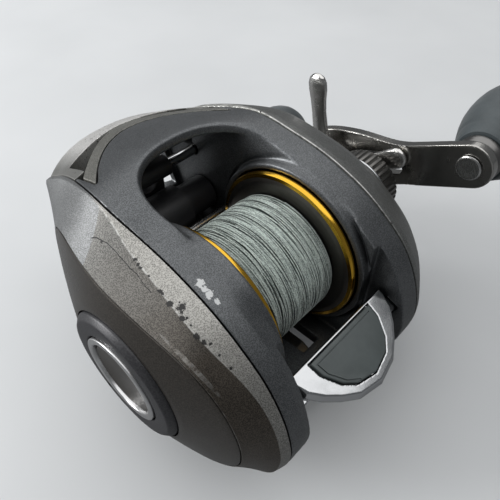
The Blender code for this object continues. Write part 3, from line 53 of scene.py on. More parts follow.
CYLINDER_PHASE = 0.013          # keeps a cylinder's facets out of the planes that cut it
ABOVE = 40.0                    # reach of cutters past the reel, above, in front and behind
BEYOND = 60.0
BEHIND = -45.0
CURVE_STEPS = 4                 # points of a smooth curve between two of its outline's


# ---------------------------------------------------------------- places read from the frame

def middle(node):
    """Middle of a CAD node's box in the reel's own millimetres."""
    low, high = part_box(node)
    return (low + high) * 0.5 / MM - Vector((0.0, 0.0, AXIS_HEIGHT))


AXIS_HEIGHT = (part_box("spool")[0].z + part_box("spool")[1].z) * 0.5 / MM
DRIVE_AXIS = tuple(middle("drive_shaft").yz)
WORM_AXIS = tuple(middle("worm_cover").yz)
GUIDE_BAR = tuple(middle("guide_bar").yz)
REAR_ROD = tuple(middle("rear_rod").yz)
SPOOL_AXIS = (0.0, 0.0)


# ---------------------------------------------------------------- mesh tools

def object_from(bm, name="form"):
    """Turn a bmesh into an object, with its faces outward."""
    bmesh.ops.recalc_face_normals(bm, faces=bm.faces)
    mesh = bpy.data.meshes.new(name)
    bm.to_mesh(mesh)
    bm.free()
    made = bpy.data.objects.new(name, mesh)
    bpy.context.scene.collection.objects.link(made)
    return made


def bake(item):
    """Apply the item's modifiers."""
    bpy.context.view_layer.update()
    graph = bpy.context.evaluated_depsgraph_get()
    mesh = bpy.data.meshes.new_from_object(item.evaluated_get(graph))
    item.modifiers.clear()
    item.data = mesh
    return item


def combine(item, others, operation):
    """Cut, join or intersect with each of the others in turn, which are used up."""
    for other in others:
        step = item.modifiers.new("cut", 'BOOLEAN')
        step.operation = operation
        step.solver = 'EXACT'
        step.object = other
        bake(item)
        bpy.data.objects.remove(other, do_unlink=True)
    return item


def cut(item, *others):
    return combine(item, others, 'DIFFERENCE')


def join(item, *others):
    return combine(item, others, 'UNION')


def keep(item, *others):
    return combine(item, others, 'INTERSECT')


def round_edges(item, width, angle=35.0, segments=3):
    edge = item.modifiers.new("edge", 'BEVEL')
    edge.width = width
    edge.segments = segments
    edge.limit_method = 'ANGLE'
    edge.angle_limit = math.radians(angle)
    edge.use_clamp_overlap = True
    return bake(item)


def soften(item, voxel, passes):
    """Remesh finely and relax, which rounds every edge a little, as casting and paint do."""
    grid = item.modifiers.new("grid", 'REMESH')
    grid.mode = 'VOXEL'
    grid.voxel_size = voxel
    calm = item.modifiers.new("calm", 'SMOOTH')
    calm.factor = 0.5
    calm.iterations = passes
    return bake(item)


def relax(item, weight, passes):
    """Relax a finely meshed form where weight says, for a broad rounded edge."""
    group = item.vertex_groups.new(name="relax")
    levels = {}
    for vert in item.data.vertices:
        level = round(4.0 * weight(vert.co))
        if level > 0:
            levels.setdefault(level, []).append(vert.index)
    for level, chosen in levels.items():
        group.add(chosen, level / 4.0, 'REPLACE')
    calm = item.modifiers.new("relax", 'SMOOTH')
    calm.factor = 0.5
    calm.iterations = passes
    calm.vertex_group = "relax"
    return bake(item)


def place(axis, along, a, b):
    """Point that lies along on the axis, and at a and b on the two others."""
    if axis == 'X':
        return Vector((along, a, b))
    if axis == 'Y':
        return Vector((a, along, b))
    return Vector((a, b, along))


def is_flat(face):
    face.normal_update()
    start = face.verts[0].co
    return all(abs(face.normal.dot(vert.co - start)) < 1e-4 for vert in face.verts)


def lofted(rings, closed=False, shares=None):
    """Skin through rings of equal count. The ends are capped, or joined if closed.

    Shares, one to a ring, go into the vertices as the attribute "share" for paint to read.
    """
    bm = bmesh.new()
    layer = bm.verts.layers.float.new("share") if shares else None
    loops = [[bm.verts.new(point) for point in ring] for ring in rings]
    if shares:
        for share, loop in zip(shares, loops):
            for vert in loop:
                vert[layer] = share
    count = len(rings[0])
    spans = len(loops) if closed else len(loops) - 1
    for row in range(spans):
        low = loops[row]
        high = loops[(row + 1) % len(loops)]
        for i in range(count):
            j = (i + 1) % count
            bm.faces.new((low[i], low[j], high[j], high[i]))
    if not closed:
        bm.faces.new(loops[0])
        bm.faces.new(loops[-1])
        bmesh.ops.triangulate(bm, faces=[face for face in bm.faces if not is_flat(face)])
    return object_from(bm)


def prism(outline, low, high, axis='X'):
    """Extrude an outline along an axis."""
    return lofted([[place(axis, end, a, b) for a, b in outline] for end in (low, high)])


def box(low, high):
    outline = [(low[1], low[2]), (high[1], low[2]), (high[1], high[2]), (low[1], high[2])]
    return prism(outline, low[0], high[0])


def circle(centre, radius, sides, phase=0.0):
    turn = 2.0 * math.pi / sides
    return [(centre[0] + radius * math.cos(phase + turn * i),
             centre[1] + radius * math.sin(phase + turn * i)) for i in range(sides)]


def cylinder(centre, radius, low, high, axis='X', sides=96):
    return prism(circle(centre, radius, sides, CYLINDER_PHASE), low, high, axis)


def turned(profile, centre=SPOOL_AXIS, axis='X', sides=128):
    """Turn a closed profile of (along, radius). Radius 0 lies on the axis."""
    bm = bmesh.new()
    turn = 2.0 * math.pi / sides
    loops = []
    for along, radius in profile:
        if radius <= 0.0:
            loops.append([bm.verts.new(place(axis, along, *centre))])
            continue
        loops.append([bm.verts.new(place(axis, along, centre[0] + radius * math.cos(turn * i),
                                         centre[1] + radius * math.sin(turn * i)))
                      for i in range(sides)])
    for row, low in enumerate(loops):
        high = loops[(row + 1) % len(loops)]
        if len(low) == 1 and len(high) == 1:
            continue
        for i in range(sides):
            j = (i + 1) % sides
            corners = [low[i % len(low)], low[j % len(low)], high[j % len(high)], high[i % len(high)]]
            bm.faces.new(list(dict.fromkeys(corners)))
    return object_from(bm)


def eased(corners, radius, steps=4):
    """Profile with its corners rounded by arcs, for turned pieces."""
    made = []
    count = len(corners)
    for i, spot in enumerate(corners):
        spot = Vector(spot)
        before = Vector(corners[i - 1]) - spot
        after = Vector(corners[(i + 1) % count]) - spot
        if spot.y <= 0.0 or before.length < 1e-6 or after.length < 1e-6:
            made.append(tuple(spot))
            continue
        reach = min(radius, before.length * 0.45, after.length * 0.45)
        a = spot + before.normalized() * reach
        b = spot + after.normalized() * reach
        for step in range(steps + 1):
            t = step / steps
            made.append(tuple(a.lerp(spot, t).lerp(spot.lerp(b, t), t)))
    return made


def smooth_closed(points, steps):
    """Closed curve that runs smoothly through the points."""
    made = []
    count = len(points)
    for i in range(count):
        p0, p1, p2, p3 = (Vector(points[(i + k - 1) % count]) for k in range(4))
        for step in range(steps):
            t = step / steps
            made.append(tuple(0.5 * (2 * p1 + (p2 - p0) * t + (2 * p0 - 5 * p1 + 4 * p2 - p3) * t * t
                                     + (3 * p1 - p0 - 3 * p2 + p3) * t ** 3)))
    return made


def polar(centre, radius, degrees):
    turn = math.radians(degrees)
    return (centre[0] + radius * math.cos(turn), centre[1] + radius * math.sin(turn))


def smooth_step(value):
    value = min(1.0, max(0.0, value))
    return value * value * (3.0 - 2.0 * value)


def put(item, name, body, material, slot, *nodes):
    """Bring a form to metres in the CAD frame and let it stand for CAD nodes."""
    item.data.transform(Matrix.Translation((0.0, 0.0, AXIS_HEIGHT)))
    item.data.transform(Matrix.Scale(MM, 4))
    item.name = name
    item.data.name = name
    item.data.materials.clear()
    item.data.materials.append(material)
    item.data.shade_smooth()
    item.data.set_sharp_from_angle(angle=SHARP_ANGLE)
    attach(item, body)
    if nodes:
        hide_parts(*nodes)
    return item


# ---------------------------------------------------------------- materials

class Recipe:
    """A Principled material and short ways to add nodes to it."""

    def __init__(self, name, colour, roughness, metallic, **constants):
        self.material = bpy.data.materials.new(name)
        self.material.use_nodes = True
        self.tree = self.material.node_tree
        self.shader = self.tree.nodes["Principled BSDF"]
        self.shader.inputs["Base Color"].default_value = (*colour, 1.0)
        self.shader.inputs["Roughness"].default_value = roughness
        self.shader.inputs["Metallic"].default_value = metallic
        for key, value in constants.items():
            self.shader.inputs[key.replace("_", " ")].default_value = value
        self.coordinates = self.tree.nodes.new("ShaderNodeTexCoord").outputs["Object"]

    def feed(self, socket, value):
        """Link a node's output to a socket, or set the socket to a value or a colour."""
        if isinstance(value, bpy.types.NodeSocket):
            self.tree.links.new(value, socket)
        elif isinstance(value, tuple) and socket.type == 'RGBA':
            socket.default_value = (*value, 1.0)
        else:
            socket.default_value = value

    def node(self, kind, **links):
        made = self.tree.nodes.new(kind)
        for key, value in links.items():
            self.feed(made.inputs[key.replace("_", " ")], value)
        return made

    def noise(self, scale, detail=2.0, roughness=0.5, stretch=None, seed=0.0, where=None):
        """Noise by object position, with the scale in features to a metre, or by another place."""
        where = where or self.coordinates
        if stretch or seed:
            where = self.node("ShaderNodeMapping", Vector=where, Scale=stretch or (1.0, 1.0, 1.0),
                              Location=(seed, seed * 0.7, -seed)).outputs[0]
        made = self.node("ShaderNodeTexNoise", Vector=where, Scale=scale, Detail=detail,
                         Roughness=roughness)
        return made.outputs["Fac"]

    def cells(self, scale):
        made = self.node("ShaderNodeTexVoronoi", Vector=self.coordinates, Scale=scale)
        return made.outputs["Distance"]

    def ramp(self, value, low, high, first=0.0, last=1.0):
        made = self.node("ShaderNodeMapRange", Value=value, From_Min=low, From_Max=high, To_Min=first,
                         To_Max=last)
        return made.outputs[0]

    def math(self, operation, a, b=0.0):
        made = self.tree.nodes.new("ShaderNodeMath")
        made.operation = operation
        self.feed(made.inputs[0], a)
        self.feed(made.inputs[1], b)
        return made.outputs[0]

    def plus(self, a, b):
        return self.math('ADD', a, b)

    def minus(self, a, b):
        return self.math('SUBTRACT', a, b)

    def times(self, a, b):
        return self.math('MULTIPLY', a, b)

    def most(self, a, b):
        return self.math('MAXIMUM', a, b)

    def above(self, a, b):
        return self.math('GREATER_THAN', a, b)

    def below(self, a, b):
        return self.math('LESS_THAN', a, b)

    def absolute(self, a):
        return self.math('ABSOLUTE', a)

    def mix(self, share, a, b):
        made = self.tree.nodes.new("ShaderNodeMix")
        made.data_type = 'RGBA'
        for index, value in ((0, share), (6, a), (7, b)):
            self.feed(made.inputs[index], value)
        return made.outputs[2]

    def recess(self, distance, low, high):
        """0 deep in a recess, where the colour is darkened as painted shade, and 1 in the open."""
        made = self.node("ShaderNodeAmbientOcclusion", Distance=distance)
        made.samples = 8
        return self.ramp(made.outputs["AO"], low, high)

    def link(self, value, name):
        self.tree.links.new(value, self.shader.inputs[name])

    def bump(self, height, strength, distance):
        made = self.node("ShaderNodeBump", Height=height, Strength=strength, Distance=distance)
        if self.shader.inputs["Normal"].is_linked:
            before = self.shader.inputs["Normal"].links[0].from_socket
            self.tree.links.new(before, made.inputs["Normal"])
        self.link(made.outputs[0], "Normal")

    def place(self):
        """Separate X, Y and Z of the object position, in millimetres of the reel's frame."""
        split = self.node("ShaderNodeSeparateXYZ", Vector=self.coordinates)
        x, y, z = (self.times(part, 1000.0) for part in split.outputs)
        return x, y, self.minus(z, AXIS_HEIGHT)

    def near(self, spot, radius, wobble):
        """1 within a ragged blot round a spot in the reel's millimetres, 0 outside."""
        target = Vector(spot) + Vector((0.0, 0.0, AXIS_HEIGHT))
        away = self.node("ShaderNodeVectorMath")
        away.operation = 'DISTANCE'
        self.tree.links.new(self.coordinates, away.inputs[0])
        away.inputs[1].default_value = target * MM
        edge = self.plus(self.math('DIVIDE', away.outputs["Value"], radius * MM), wobble)
        return self.below(edge, 1.0)


def flake_paint(name, dark, light, roughness=0.42, metallic=0.55, contrast=1.0):
    """Metallic paint: fine bright and dark flakes over a slow drift of tone."""
    made = Recipe(name, dark, roughness, metallic, Coat_Weight=0.12, Coat_Roughness=0.3)
    fine = made.noise(9000.0, 3.0, 0.75)
    spots = made.ramp(made.cells(5200.0), 0.25, 0.75)
    drift = made.noise(90.0, 3.0, 0.6)
    flakes = made.plus(made.times(fine, 0.75), made.times(spots, 0.35))
    share = made.ramp(made.plus(flakes, made.times(drift, 0.25)),
                      0.62 - 0.22 / contrast, 0.62 + 0.22 / contrast)
    made.flakes = share
    made.colour = made.mix(share, dark, light)
    made.link(made.colour, "Base Color")
    made.link(made.ramp(fine, 0.3, 0.7, roughness - 0.07, roughness + 0.09), "Roughness")
    made.bump(fine, 0.35, 0.00005)
    return made


# ---------------------------------------------------------------- body shape

BODY_HALF = 19.2
BAY_HALF = 12.5
WEB_X = BAY_HALF + 3.0
NOSE_Y = 44.7
NOSE_Z = 13.2
TOP_Z = 22.0
FLOOR_Z = -20.5
REAR_Y = -27.2
BODY_OUTLINE = [
    (NOSE_Y, NOSE_Z), (41.0, 15.1), (37.5, 16.9), (32.0, 18.9), (26.0, 20.6), (20.0, TOP_Z - 0.2),
    (14.0, TOP_Z), (7.0, 20.9), (1.0, 19.6), (-5.0, 17.8), (-10.6, 15.6), (-16.0, 12.3),
    (-20.8, 8.3), (-24.5, 2.8), (REAR_Y + 0.6, -3.0), (REAR_Y, -8.0), (REAR_Y + 1.2, -13.5),
    (-22.0, -18.0), (-16.0, FLOOR_Z + 0.3), (-8.0, FLOOR_Z), (6.0, FLOOR_Z), (16.0, FLOOR_Z + 0.9),
    (25.0, -15.8), (33.0, -9.5), (39.0, -2.0), (43.0, 5.0), (NOSE_Y + 0.4, 10.5)]
BODY_CURVE = smooth_closed(BODY_OUTLINE, CURVE_STEPS)
BODY_SPANS = 16
BODY_MIDDLE = (5.0, -1.0)       # where the gear side's outlines shrink towards
SEAM_GAP = 0.3
NOSE_NARROWING = 0.17
NOSE_TAPER = 0.14
TAPER_START_Y = 12.0
TAPER_LENGTH = 27.0
HOOD_CROWN = 1.1
REAR_HALF = 14.2                # half width of the gap that the thumb bar fills
REAR_CUT_Y = -18.2
WALL = 1.6
ARCH_HALF = 14.2
ARCH_FRONT_Y = 21.0
ARCH_START_Y = 6.0
ARCH_DRAFT = 0.30
ARCH_POWER = 0.87               # 1 is an ellipse, and less is squarer
ARCH_STEPS = 48
ARCH_LOW_Z = 14.0
ARCH_HIGH_Z = 30.0
TRIM_BACK_Y = 34.0
TRIM_FRONT_Y = 38.0
TRIM_SWEEP = 11.5
TRIM_HALF = 15.5
TRIM_REACH = 16.4
TRIM_THICKNESS = 1.6
TRIM_CUT_Z = 8.0                # well below the trim, where its cutters start
NOSE_BAR_FLOOR_Z = 9.6
NOSE_ARM_BACK_Y = 27.0
SLOT_HALF = 14.8
WINDOW_HALF = 11.0
WINDOW_SILL_Z = -3.0
BORE_R = 17.3
COLLAR_WALL = 1.2
COLLAR_INNER_X = 11.2
CHAMBER_WALL = 3.0
CHAMBER_FRONT_Y = 31.0
BEARING_R = 4.75
DRIVE_HOLE_R = 2.85
WORM_HOLE_R = 2.65
GUIDE_BAR_R = 1.2
REAR_ROD_R = 1.1
FOOT_SCREWS_Y = (-7.0, 15.0)
FOOT_SCREW_HOLE_R = 1.85


def warp(u, y, z):
    """Body surface point: u runs from -1 at the palm side to 1 at the handle side."""
    y_new = y
    if y > TAPER_START_Y:
        y_new = TAPER_START_Y + (y - TAPER_START_Y) * (1.0 - NOSE_NARROWING * abs(u) ** 2.5)
    top = smooth_step((y + 5.0) / 20.0) * smooth_step(z / 12.0)
    taper = 1.0 - NOSE_TAPER * smooth_step((y - TAPER_START_Y) / TAPER_LENGTH)
    return Vector((u * BODY_HALF * taper, y_new, z - HOOD_CROWN * u * u * top))


def body_block():
    """The whole body, without its hollows."""
    spans = [math.sin(math.pi * (i / BODY_SPANS - 0.5)) for i in range(BODY_SPANS + 1)]
    return lofted([[warp(u, y, z) for y, z in BODY_CURVE] for u in spans])


def seam_ring(side, outline):
    """Edge of a side cover, a seam away from the frame."""
    ring = []
    for y, z in outline:
        spot = warp(side, y, z)
        spot.x += side * SEAM_GAP
        ring.append(spot)
    return ring


def trim_edge(x, front):
    """Front or back edge of the hood's trim, as y by x."""
    base = TRIM_FRONT_Y if front else TRIM_BACK_Y
    return base - TRIM_SWEEP * (abs(x) / TRIM_HALF) ** (1.55 if front else 1.9)


def nose_inner(x):
    """Back edge of the nose bar, as y by x."""
    return 38.6 - 0.176 * abs(x) ** 1.25


def plan_strip(back, front, half, low, high):
    """Upright slab between two edges that are given as y by x."""
    steps = 48
    stops = [half * (2.0 * i / steps - 1.0) for i in range(steps + 1)]
    outline = [(x, front(x)) for x in stops] + [(x, back(x)) for x in reversed(stops)]
    return prism(outline, low, high, 'Z')


def lowered_body(depth):
    """The body sunk down and back, to leave a shell of about that depth."""
    moved = body_block()
    moved.data.transform(Matrix.Translation((0.0, -0.4 * depth, -0.92 * depth)))
    return moved


def arch_outline(height, grow):
    """Rounded opening over the spool, open to the rear."""
    half = ARCH_HALF + grow
    reach = ARCH_FRONT_Y - ARCH_START_Y + grow
    outline = [(half, BEHIND)]
    for step in range(ARCH_STEPS + 1):
        turn = math.pi * step / ARCH_STEPS
        across = math.copysign(abs(math.cos(turn)) ** ARCH_POWER, math.cos(turn))
        outline.append((half * across, ARCH_START_Y + reach * math.sin(turn) ** ARCH_POWER))
    outline.append((-half, BEHIND))
    return [Vector((x, y, height)) for x, y in outline]


def bay_outline():
    """Hollow between the side plates, as y and z."""
    under = WALL + 0.6
    return [(BEHIND, FLOOR_Z - 5.0), (-18.5, FLOOR_Z - 5.0), (-18.5, FLOOR_Z + 3.0),
            (20.0, FLOOR_Z + 3.0), (29.5, -10.0), (35.4, -2.0), (38.6, 6.0), (38.4, NOSE_Z - 0.4),
            (33.0, 18.6 - under), (27.0, 20.4 - under), (19.5, TOP_Z - under),
            (12.0, TOP_Z - under), (6.0, TOP_Z - under - 1.7), (BEHIND, TOP_Z - under - 1.7)]


THUMB_SLOPE = math.radians(22.5)
THUMB_FRONT = (-20.7, 1.5)
THUMB_PRESS = 3.5


def thumb_point(x, v, w, press=0.0):
    """Point on the thumb bar: v runs back along its top, w stands off it."""
    w -= press
    return Vector((x, THUMB_FRONT[0] - v * math.cos(THUMB_SLOPE) - w * math.sin(THUMB_SLOPE),
                   THUMB_FRONT[1] - v * math.sin(THUMB_SLOPE) + w * math.cos(THUMB_SLOPE)))


def thumb_block(low, high, press=0.0):
    """Block in the thumb bar's own directions, reaching down by the bar's press."""
    rings = []
    for x in (low[0], high[0]):
        rings.append([thumb_point(x, low[1], high[2]), thumb_point(x, high[1], high[2]),
                      thumb_point(x, high[1], low[2], press), thumb_point(x, low[1], low[2], press)])
    return lofted(rings)


RAIL_CREST_X = 15.9
RAIL_SWEEP = (74, 204)          # degrees round the spool
RAIL_SINK = 1.5
LIP_Y = (-16.0, 25.0)
LIP_LOW_Z = 7.0
LIP_HALF = 16.6
LIP_INNER_R = 17.9


def rail_wedge():
    """What the palm side's rail loses between its crest and the bay."""
    start, end = RAIL_SWEEP
    rings = []
    for degrees in range(start, end + 1, 2):
        y, z = polar(SPOOL_AXIS, radius_at(BODY_CURVE, math.radians(degrees)), degrees)
        sink = RAIL_SINK * smooth_step((degrees - start) / 22.0) * smooth_step((end - degrees) / 22.0)
        out = Vector((0.0, y, z)).normalized()
        crest = warp(-RAIL_CREST_X / BODY_HALF, y, z)
        bore = warp(-(BAY_HALF - 0.6) / BODY_HALF, y, z)
        bore -= out * max(0.0, min(sink, bore.yz.length - BORE_R - 1.0))
        rings.append([crest + out * 0.004, bore, bore + out * 6.0, crest + out * 6.0])
    return lofted(rings)


def lip_weight(spot):
    """Where the hood's lip and the plates' inner edges are broadly rounded."""
    x, y, z = spot
    if not LIP_Y[0] <= y <= LIP_Y[1] or z < LIP_LOW_Z or abs(x) > LIP_HALF:
        return 0.0
    if y * y + z * z < LIP_INNER_R ** 2:
        return 0.0
    side = smooth_step((LIP_HALF + 0.6 - abs(x)) / 2.0) * smooth_step((y - LIP_Y[0]) / 6.0)
    return side * smooth_step((LIP_Y[1] - y) / 3.0) * smooth_step((z - LIP_LOW_Z) / 5.0)


def frame_form():
    """Cast frame: side plates, hood, floor and collars in one piece."""
    form = body_block()
    arch = lofted([arch_outline(z, (z - TOP_Z) * ARCH_DRAFT) for z in (ARCH_LOW_Z, ARCH_HIGH_Z)])
    cut(form, prism(bay_outline(), -BAY_HALF, BAY_HALF), arch)
    # Collars round the spool's rims, with a groove where the gear side's plate meets its collar.
    collar_r = BORE_R + COLLAR_WALL
    for side in (-1, 1):
        ends = sorted((side * (BAY_HALF + 1.0), side * COLLAR_INNER_X))
        join(form, cylinder(SPOOL_AXIS, collar_r, *ends))
    cut(form, turned([(BAY_HALF - 0.2, collar_r), (BAY_HALF + 0.7, collar_r),
                      (BAY_HALF + 0.7, collar_r + 0.6), (BAY_HALF - 0.2, collar_r + 0.8)]))
    cut(form, cylinder(SPOOL_AXIS, BORE_R, -BODY_HALF - 2.0, -5.0),
        cylinder(SPOOL_AXIS, BORE_R, 5.0, BAY_HALF + 0.8))
    # Chamber for the gears, and the holes for shafts and rods.
    chamber = []
    for y, z in BODY_OUTLINE:
        away = Vector((y, z)) - Vector(BODY_MIDDLE)
        away *= 1.0 - CHAMBER_WALL / away.length
        chamber.append((min(BODY_MIDDLE[0] + away.x, CHAMBER_FRONT_Y), BODY_MIDDLE[1] + away.y))
    cut(form, prism(chamber, WEB_X, BODY_HALF + 2.0))
    cut(form, cylinder(SPOOL_AXIS, BEARING_R, BAY_HALF - 1.0, WEB_X + 1.0),
        cylinder(DRIVE_AXIS, DRIVE_HOLE_R, BAY_HALF + 1.0, WEB_X + 1.0, sides=32),
        cylinder(WORM_AXIS, WORM_HOLE_R, BAY_HALF - 1.0, WEB_X + 1.0, sides=32),
        cylinder(WORM_AXIS, WORM_HOLE_R, -BAY_HALF - 1.6, -BAY_HALF + 1.0, sides=32))
    for spot, radius in ((GUIDE_BAR, GUIDE_BAR_R + 0.25), (REAR_ROD, REAR_ROD_R + 0.05)):
        cut(form, cylinder(spot, radius, -BAY_HALF - 0.7, BAY_HALF + 0.7, sides=32))
    # Nose: the line's window, the nose bar's place and the trim's seat.
    cut(form, box((-WINDOW_HALF, 32.0, WINDOW_SILL_Z), (WINDOW_HALF, BEYOND, NOSE_BAR_FLOOR_Z + 1.0)))
    cut(form, plan_strip(lambda x: max(trim_edge(x, True), NOSE_ARM_BACK_Y), lambda x: BEYOND,
                         BODY_HALF + 2.0, NOSE_BAR_FLOOR_Z - GAP, ABOVE))
    seat = plan_strip(lambda x: trim_edge(x, False) - GAP, lambda x: trim_edge(x, True) + 3.0,
                      TRIM_REACH + GAP, TRIM_CUT_Z, ABOVE)
    cut(seat, lowered_body(TRIM_THICKNESS + GAP))
    cut(form, seat)
    # Floor slots, the thumb bar's gap and pockets, posts for the cover screws, and the foot's holes.
    for side in (-1, 1):
        ends = sorted((side * 2.9, side * 8.0))
        cut(form, box((ends[0], -13.0, FLOOR_Z - 2.0), (ends[1], 7.5, FLOOR_Z + 6.0)))
    cut(form, box((-REAR_HALF, REAR_Y - 10.0, FLOOR_Z - 6.0), (REAR_HALF, REAR_CUT_Y, TOP_Z + 5.0)),
        thumb_block((-REAR_HALF - 0.85, 2.1, -4.5), (REAR_HALF + 0.85, 5.3, -1.3), THUMB_PRESS))
    for z in (-10.0, 10.0):
        join(form, cylinder((-1.2, z), 1.1, WEB_X - 0.8, 25.5, sides=32))
    for y in FOOT_SCREWS_Y:
        cut(form, cylinder((0.0, y), FOOT_SCREW_HOLE_R, FLOOR_Z - 2.0, FLOOR_Z + 2.2, 'Z', 32))
    cut(form, rail_wedge())
    return relax(soften(form, 0.2, 6), lip_weight, 60)


def trim_form():
    trim = plan_strip(lambda x: trim_edge(x, False), lambda x: trim_edge(x, True), TRIM_REACH,
                      TRIM_CUT_Z, ABOVE)
    keep(trim, body_block())
    return soften(cut(trim, lowered_body(TRIM_THICKNESS)), 0.12, 3)


def nose_form():
    bar = plan_strip(lambda x: max(trim_edge(x, True), NOSE_ARM_BACK_Y) + GAP, lambda x: BEYOND,
                     BODY_HALF + 2.0, NOSE_BAR_FLOOR_Z, ABOVE)
    keep(bar, body_block())
    cut(bar, plan_strip(lambda x: 20.0, nose_inner, SLOT_HALF, 0.0, ABOVE))
    return soften(bar, 0.14, 6)


# ---------------------------------------------------------------- palm side

DIAL_R = 12.7
DIAL_FACE_X = -31.6
DIAL_SINK = 2.6                 # from the dial's face to the floor of its recess
DIAL_HOLE_R = 5.5
INLAY_MIDDLE = (22.6, -0.5)
INLAY_HALF = (5.6, 1.6)
INLAY_LEAN = math.radians(-62.0)
INLAY_CUT = (-35.0, -15.0)      # reach of the inlay's cutters along X
RING_R = 8.4
PANEL_APEX_X = -30.3
PANEL_OUTLINE = [
    (28.0, 6.0), (26.0, 12.0), (20.0, 15.8), (12.0, 17.2), (4.0, 17.6), (-4.0, 17.2),
    (-12.0, 15.2), (-18.0, 11.0), (-21.5, 5.0), (-22.8, -2.0), (-21.5, -9.0), (-16.0, -14.5),
    (-8.0, -17.2), (2.0, -17.6), (12.0, -16.0), (20.0, -11.0), (26.0, -3.0)]
PANEL_CURVE = smooth_closed(PANEL_OUTLINE, CURVE_STEPS)
PALM_RAYS = 240


def radius_at(outline, angle):
    """How far a closed outline reaches from the spool axis at an angle."""
    way = Vector((math.cos(angle), math.sin(angle)))
    best = 0.0
    for i, start in enumerate(outline):
        a = Vector(start)
        edge = Vector(outline[(i + 1) % len(outline)]) - a
        across = way.x * edge.y - way.y * edge.x
        if abs(across) < 1e-9:
            continue
        reach = (a.x * edge.y - a.y * edge.x) / across
        share = (a.x * way.y - a.y * way.x) / across
        if reach > 0.0 and -1e-6 <= share <= 1.0 + 1e-6:
            best = max(best, reach)
    return best


def dome_x(radius):
    """Where the smooth panel lies at a distance from the spool axis."""
    run = radius - DIAL_R - 2.0 * SEAM_GAP
    return PANEL_APEX_X + 0.36 * run + 0.004 * run * run


def rays():
    """Angles round the spool, with the seam's points and the panel's radii there."""
    angles = [2.0 * math.pi * i / PALM_RAYS for i in range(PALM_RAYS)]
    rim = [polar(SPOOL_AXIS, radius_at(BODY_CURVE, a), math.degrees(a)) for a in angles]
    return angles, rim, [radius_at(PANEL_CURVE, a) for a in angles]


def ring_at(angles, radii, stops):
    return [Vector((x, r * math.cos(a), r * math.sin(a))) for a, r, x in zip(angles, radii, stops)]


# Angle round the spool, and how far the crease stands off the seam there.
CREASE = ((0, 1.2), (30, 0.7), (52, 0.3), (60, 0.5), (68, 1.7), (75, 2.4), (83, 2.8), (97, 3.3),
          (120, 3.85), (135, 3.6), (150, 2.8), (165, 2.0), (180, 1.8), (195, 2.0), (225, 3.0),
          (270, 3.2), (300, 2.8), (330, 1.8), (360, 1.2))


def crease_at(turn):
    turn %= 360.0
    for (a, low), (b, high) in zip(CREASE, CREASE[1:]):
        if a <= turn <= b:
            return low + (high - low) * (turn - a) / (b - a)
    return CREASE[0][1]


def crease_depth(angle):
    """How far the sharp crease of the palm cover stands off the seam, by angle round the spool."""
    turn = math.degrees(angle)
    return sum(crease_at(turn + step) for step in (-5.0, -2.5, 0.0, 2.5, 5.0)) / 5.0


def crease_spot(seam, angle):
    depth = crease_depth(angle)
    share = 1.0 - 0.006 * depth - 0.002 * depth * depth
    return Vector((seam.x - depth, seam.y * share, seam.z * share))


def palm_spot(degrees, share):
    """Point of the palm cover: share 0 at the seam, 1 at the crease and 2 at the panel."""
    angle = math.radians(degrees)
    rim = polar(SPOOL_AXIS, radius_at(BODY_CURVE, angle), degrees)
    seam = seam_ring(-1.0, [rim])[0]
    crease = crease_spot(seam, angle)
    if share <= 1.0:
        return seam.lerp(crease, share)
    edge = radius_at(PANEL_CURVE, angle)
    return crease.lerp(Vector((dome_x(edge), *polar(SPOOL_AXIS, edge, degrees))), share - 1.0)


def between(a, b, share, swell=0.0):
    """Ring between two rings, swollen outwards towards the palm."""
    made = []
    for p, q in zip(a, b):
        spot = p.lerp(q, share)
        spot.x -= swell * 4.0 * share * (1.0 - share)
        made.append(spot)
    return made


def drawn_in(ring, shift, depth):
    """The ring moved along X and drawn towards the axis."""
    return [Vector((p.x + shift, p.y * (1.0 - depth / p.yz.length), p.z * (1.0 - depth / p.yz.length)))
            for p in ring]


def palm_cover_form():
    angles, rim, edge = rays()
    seam = seam_ring(-1.0, rim)
    crease = [crease_spot(s, a) for s, a in zip(seam, angles)]
    lip = ring_at(angles, edge, [dome_x(r) for r in edge])
    ledge = WALL - 0.4
    rings = [(0.0, drawn_in(seam, 0.0, 0.15)), (0.02, drawn_in(seam, -0.05, 0.03))]
    rings += [(share, between(seam, crease, share, 0.10)) for share in (0.07, 0.25, 0.45, 0.65, 0.85,
                                                                        0.96)]
    rings += [(1.0, crease)]
    rings += [(1.0 + share, between(crease, lip, share, -0.22))
              for share in (0.012, 0.05, 0.15, 0.3, 0.45, 0.6, 0.75, 0.9, 0.985)]
    rings += [(2.0, drawn_in(lip, 0.05, 0.12)),
              (2.2, ring_at(angles, [r - 0.12 for r in edge], [dome_x(r) + ledge for r in edge])),
              (2.4, ring_at(angles, [r - 1.3 for r in edge], [dome_x(r) + ledge for r in edge])),
              (2.6, ring_at(angles, [r - 1.3 for r in edge], [dome_x(r) + 2.0 * ledge for r in edge])),
              (2.8, drawn_in(crease, 0.6, 1.9)), (2.9, drawn_in(seam, 0.0, 1.9))]
    return lofted([ring for _, ring in rings], closed=True, shares=[share for share, _ in rings])


def panel_form(lift=0.0):
    """Domed panel with a round recess for the dial."""
    angles, _, edge = rays()
    rim = [r - SEAM_GAP for r in edge]
    recess = DIAL_R + SEAM_GAP
    floor_x = DIAL_FACE_X + DIAL_SINK + lift
    rings = []
    for step in range(9):
        radii = [r + (recess - r) * step / 8.0 for r in rim]
        rings.append(ring_at(angles, radii, [dome_x(r) + lift for r in radii]))
    for radius, x in ((recess, floor_x), (DIAL_HOLE_R, floor_x), (DIAL_HOLE_R, floor_x + 1.2),
                      (recess - 0.5, floor_x + 1.2)):
        rings.append(ring_at(angles, [radius] * PALM_RAYS, [x] * PALM_RAYS))
    rings.append(ring_at(angles, rim, [dome_x(r) + 0.9 + lift for r in edge]))
    return lofted(rings, closed=True)


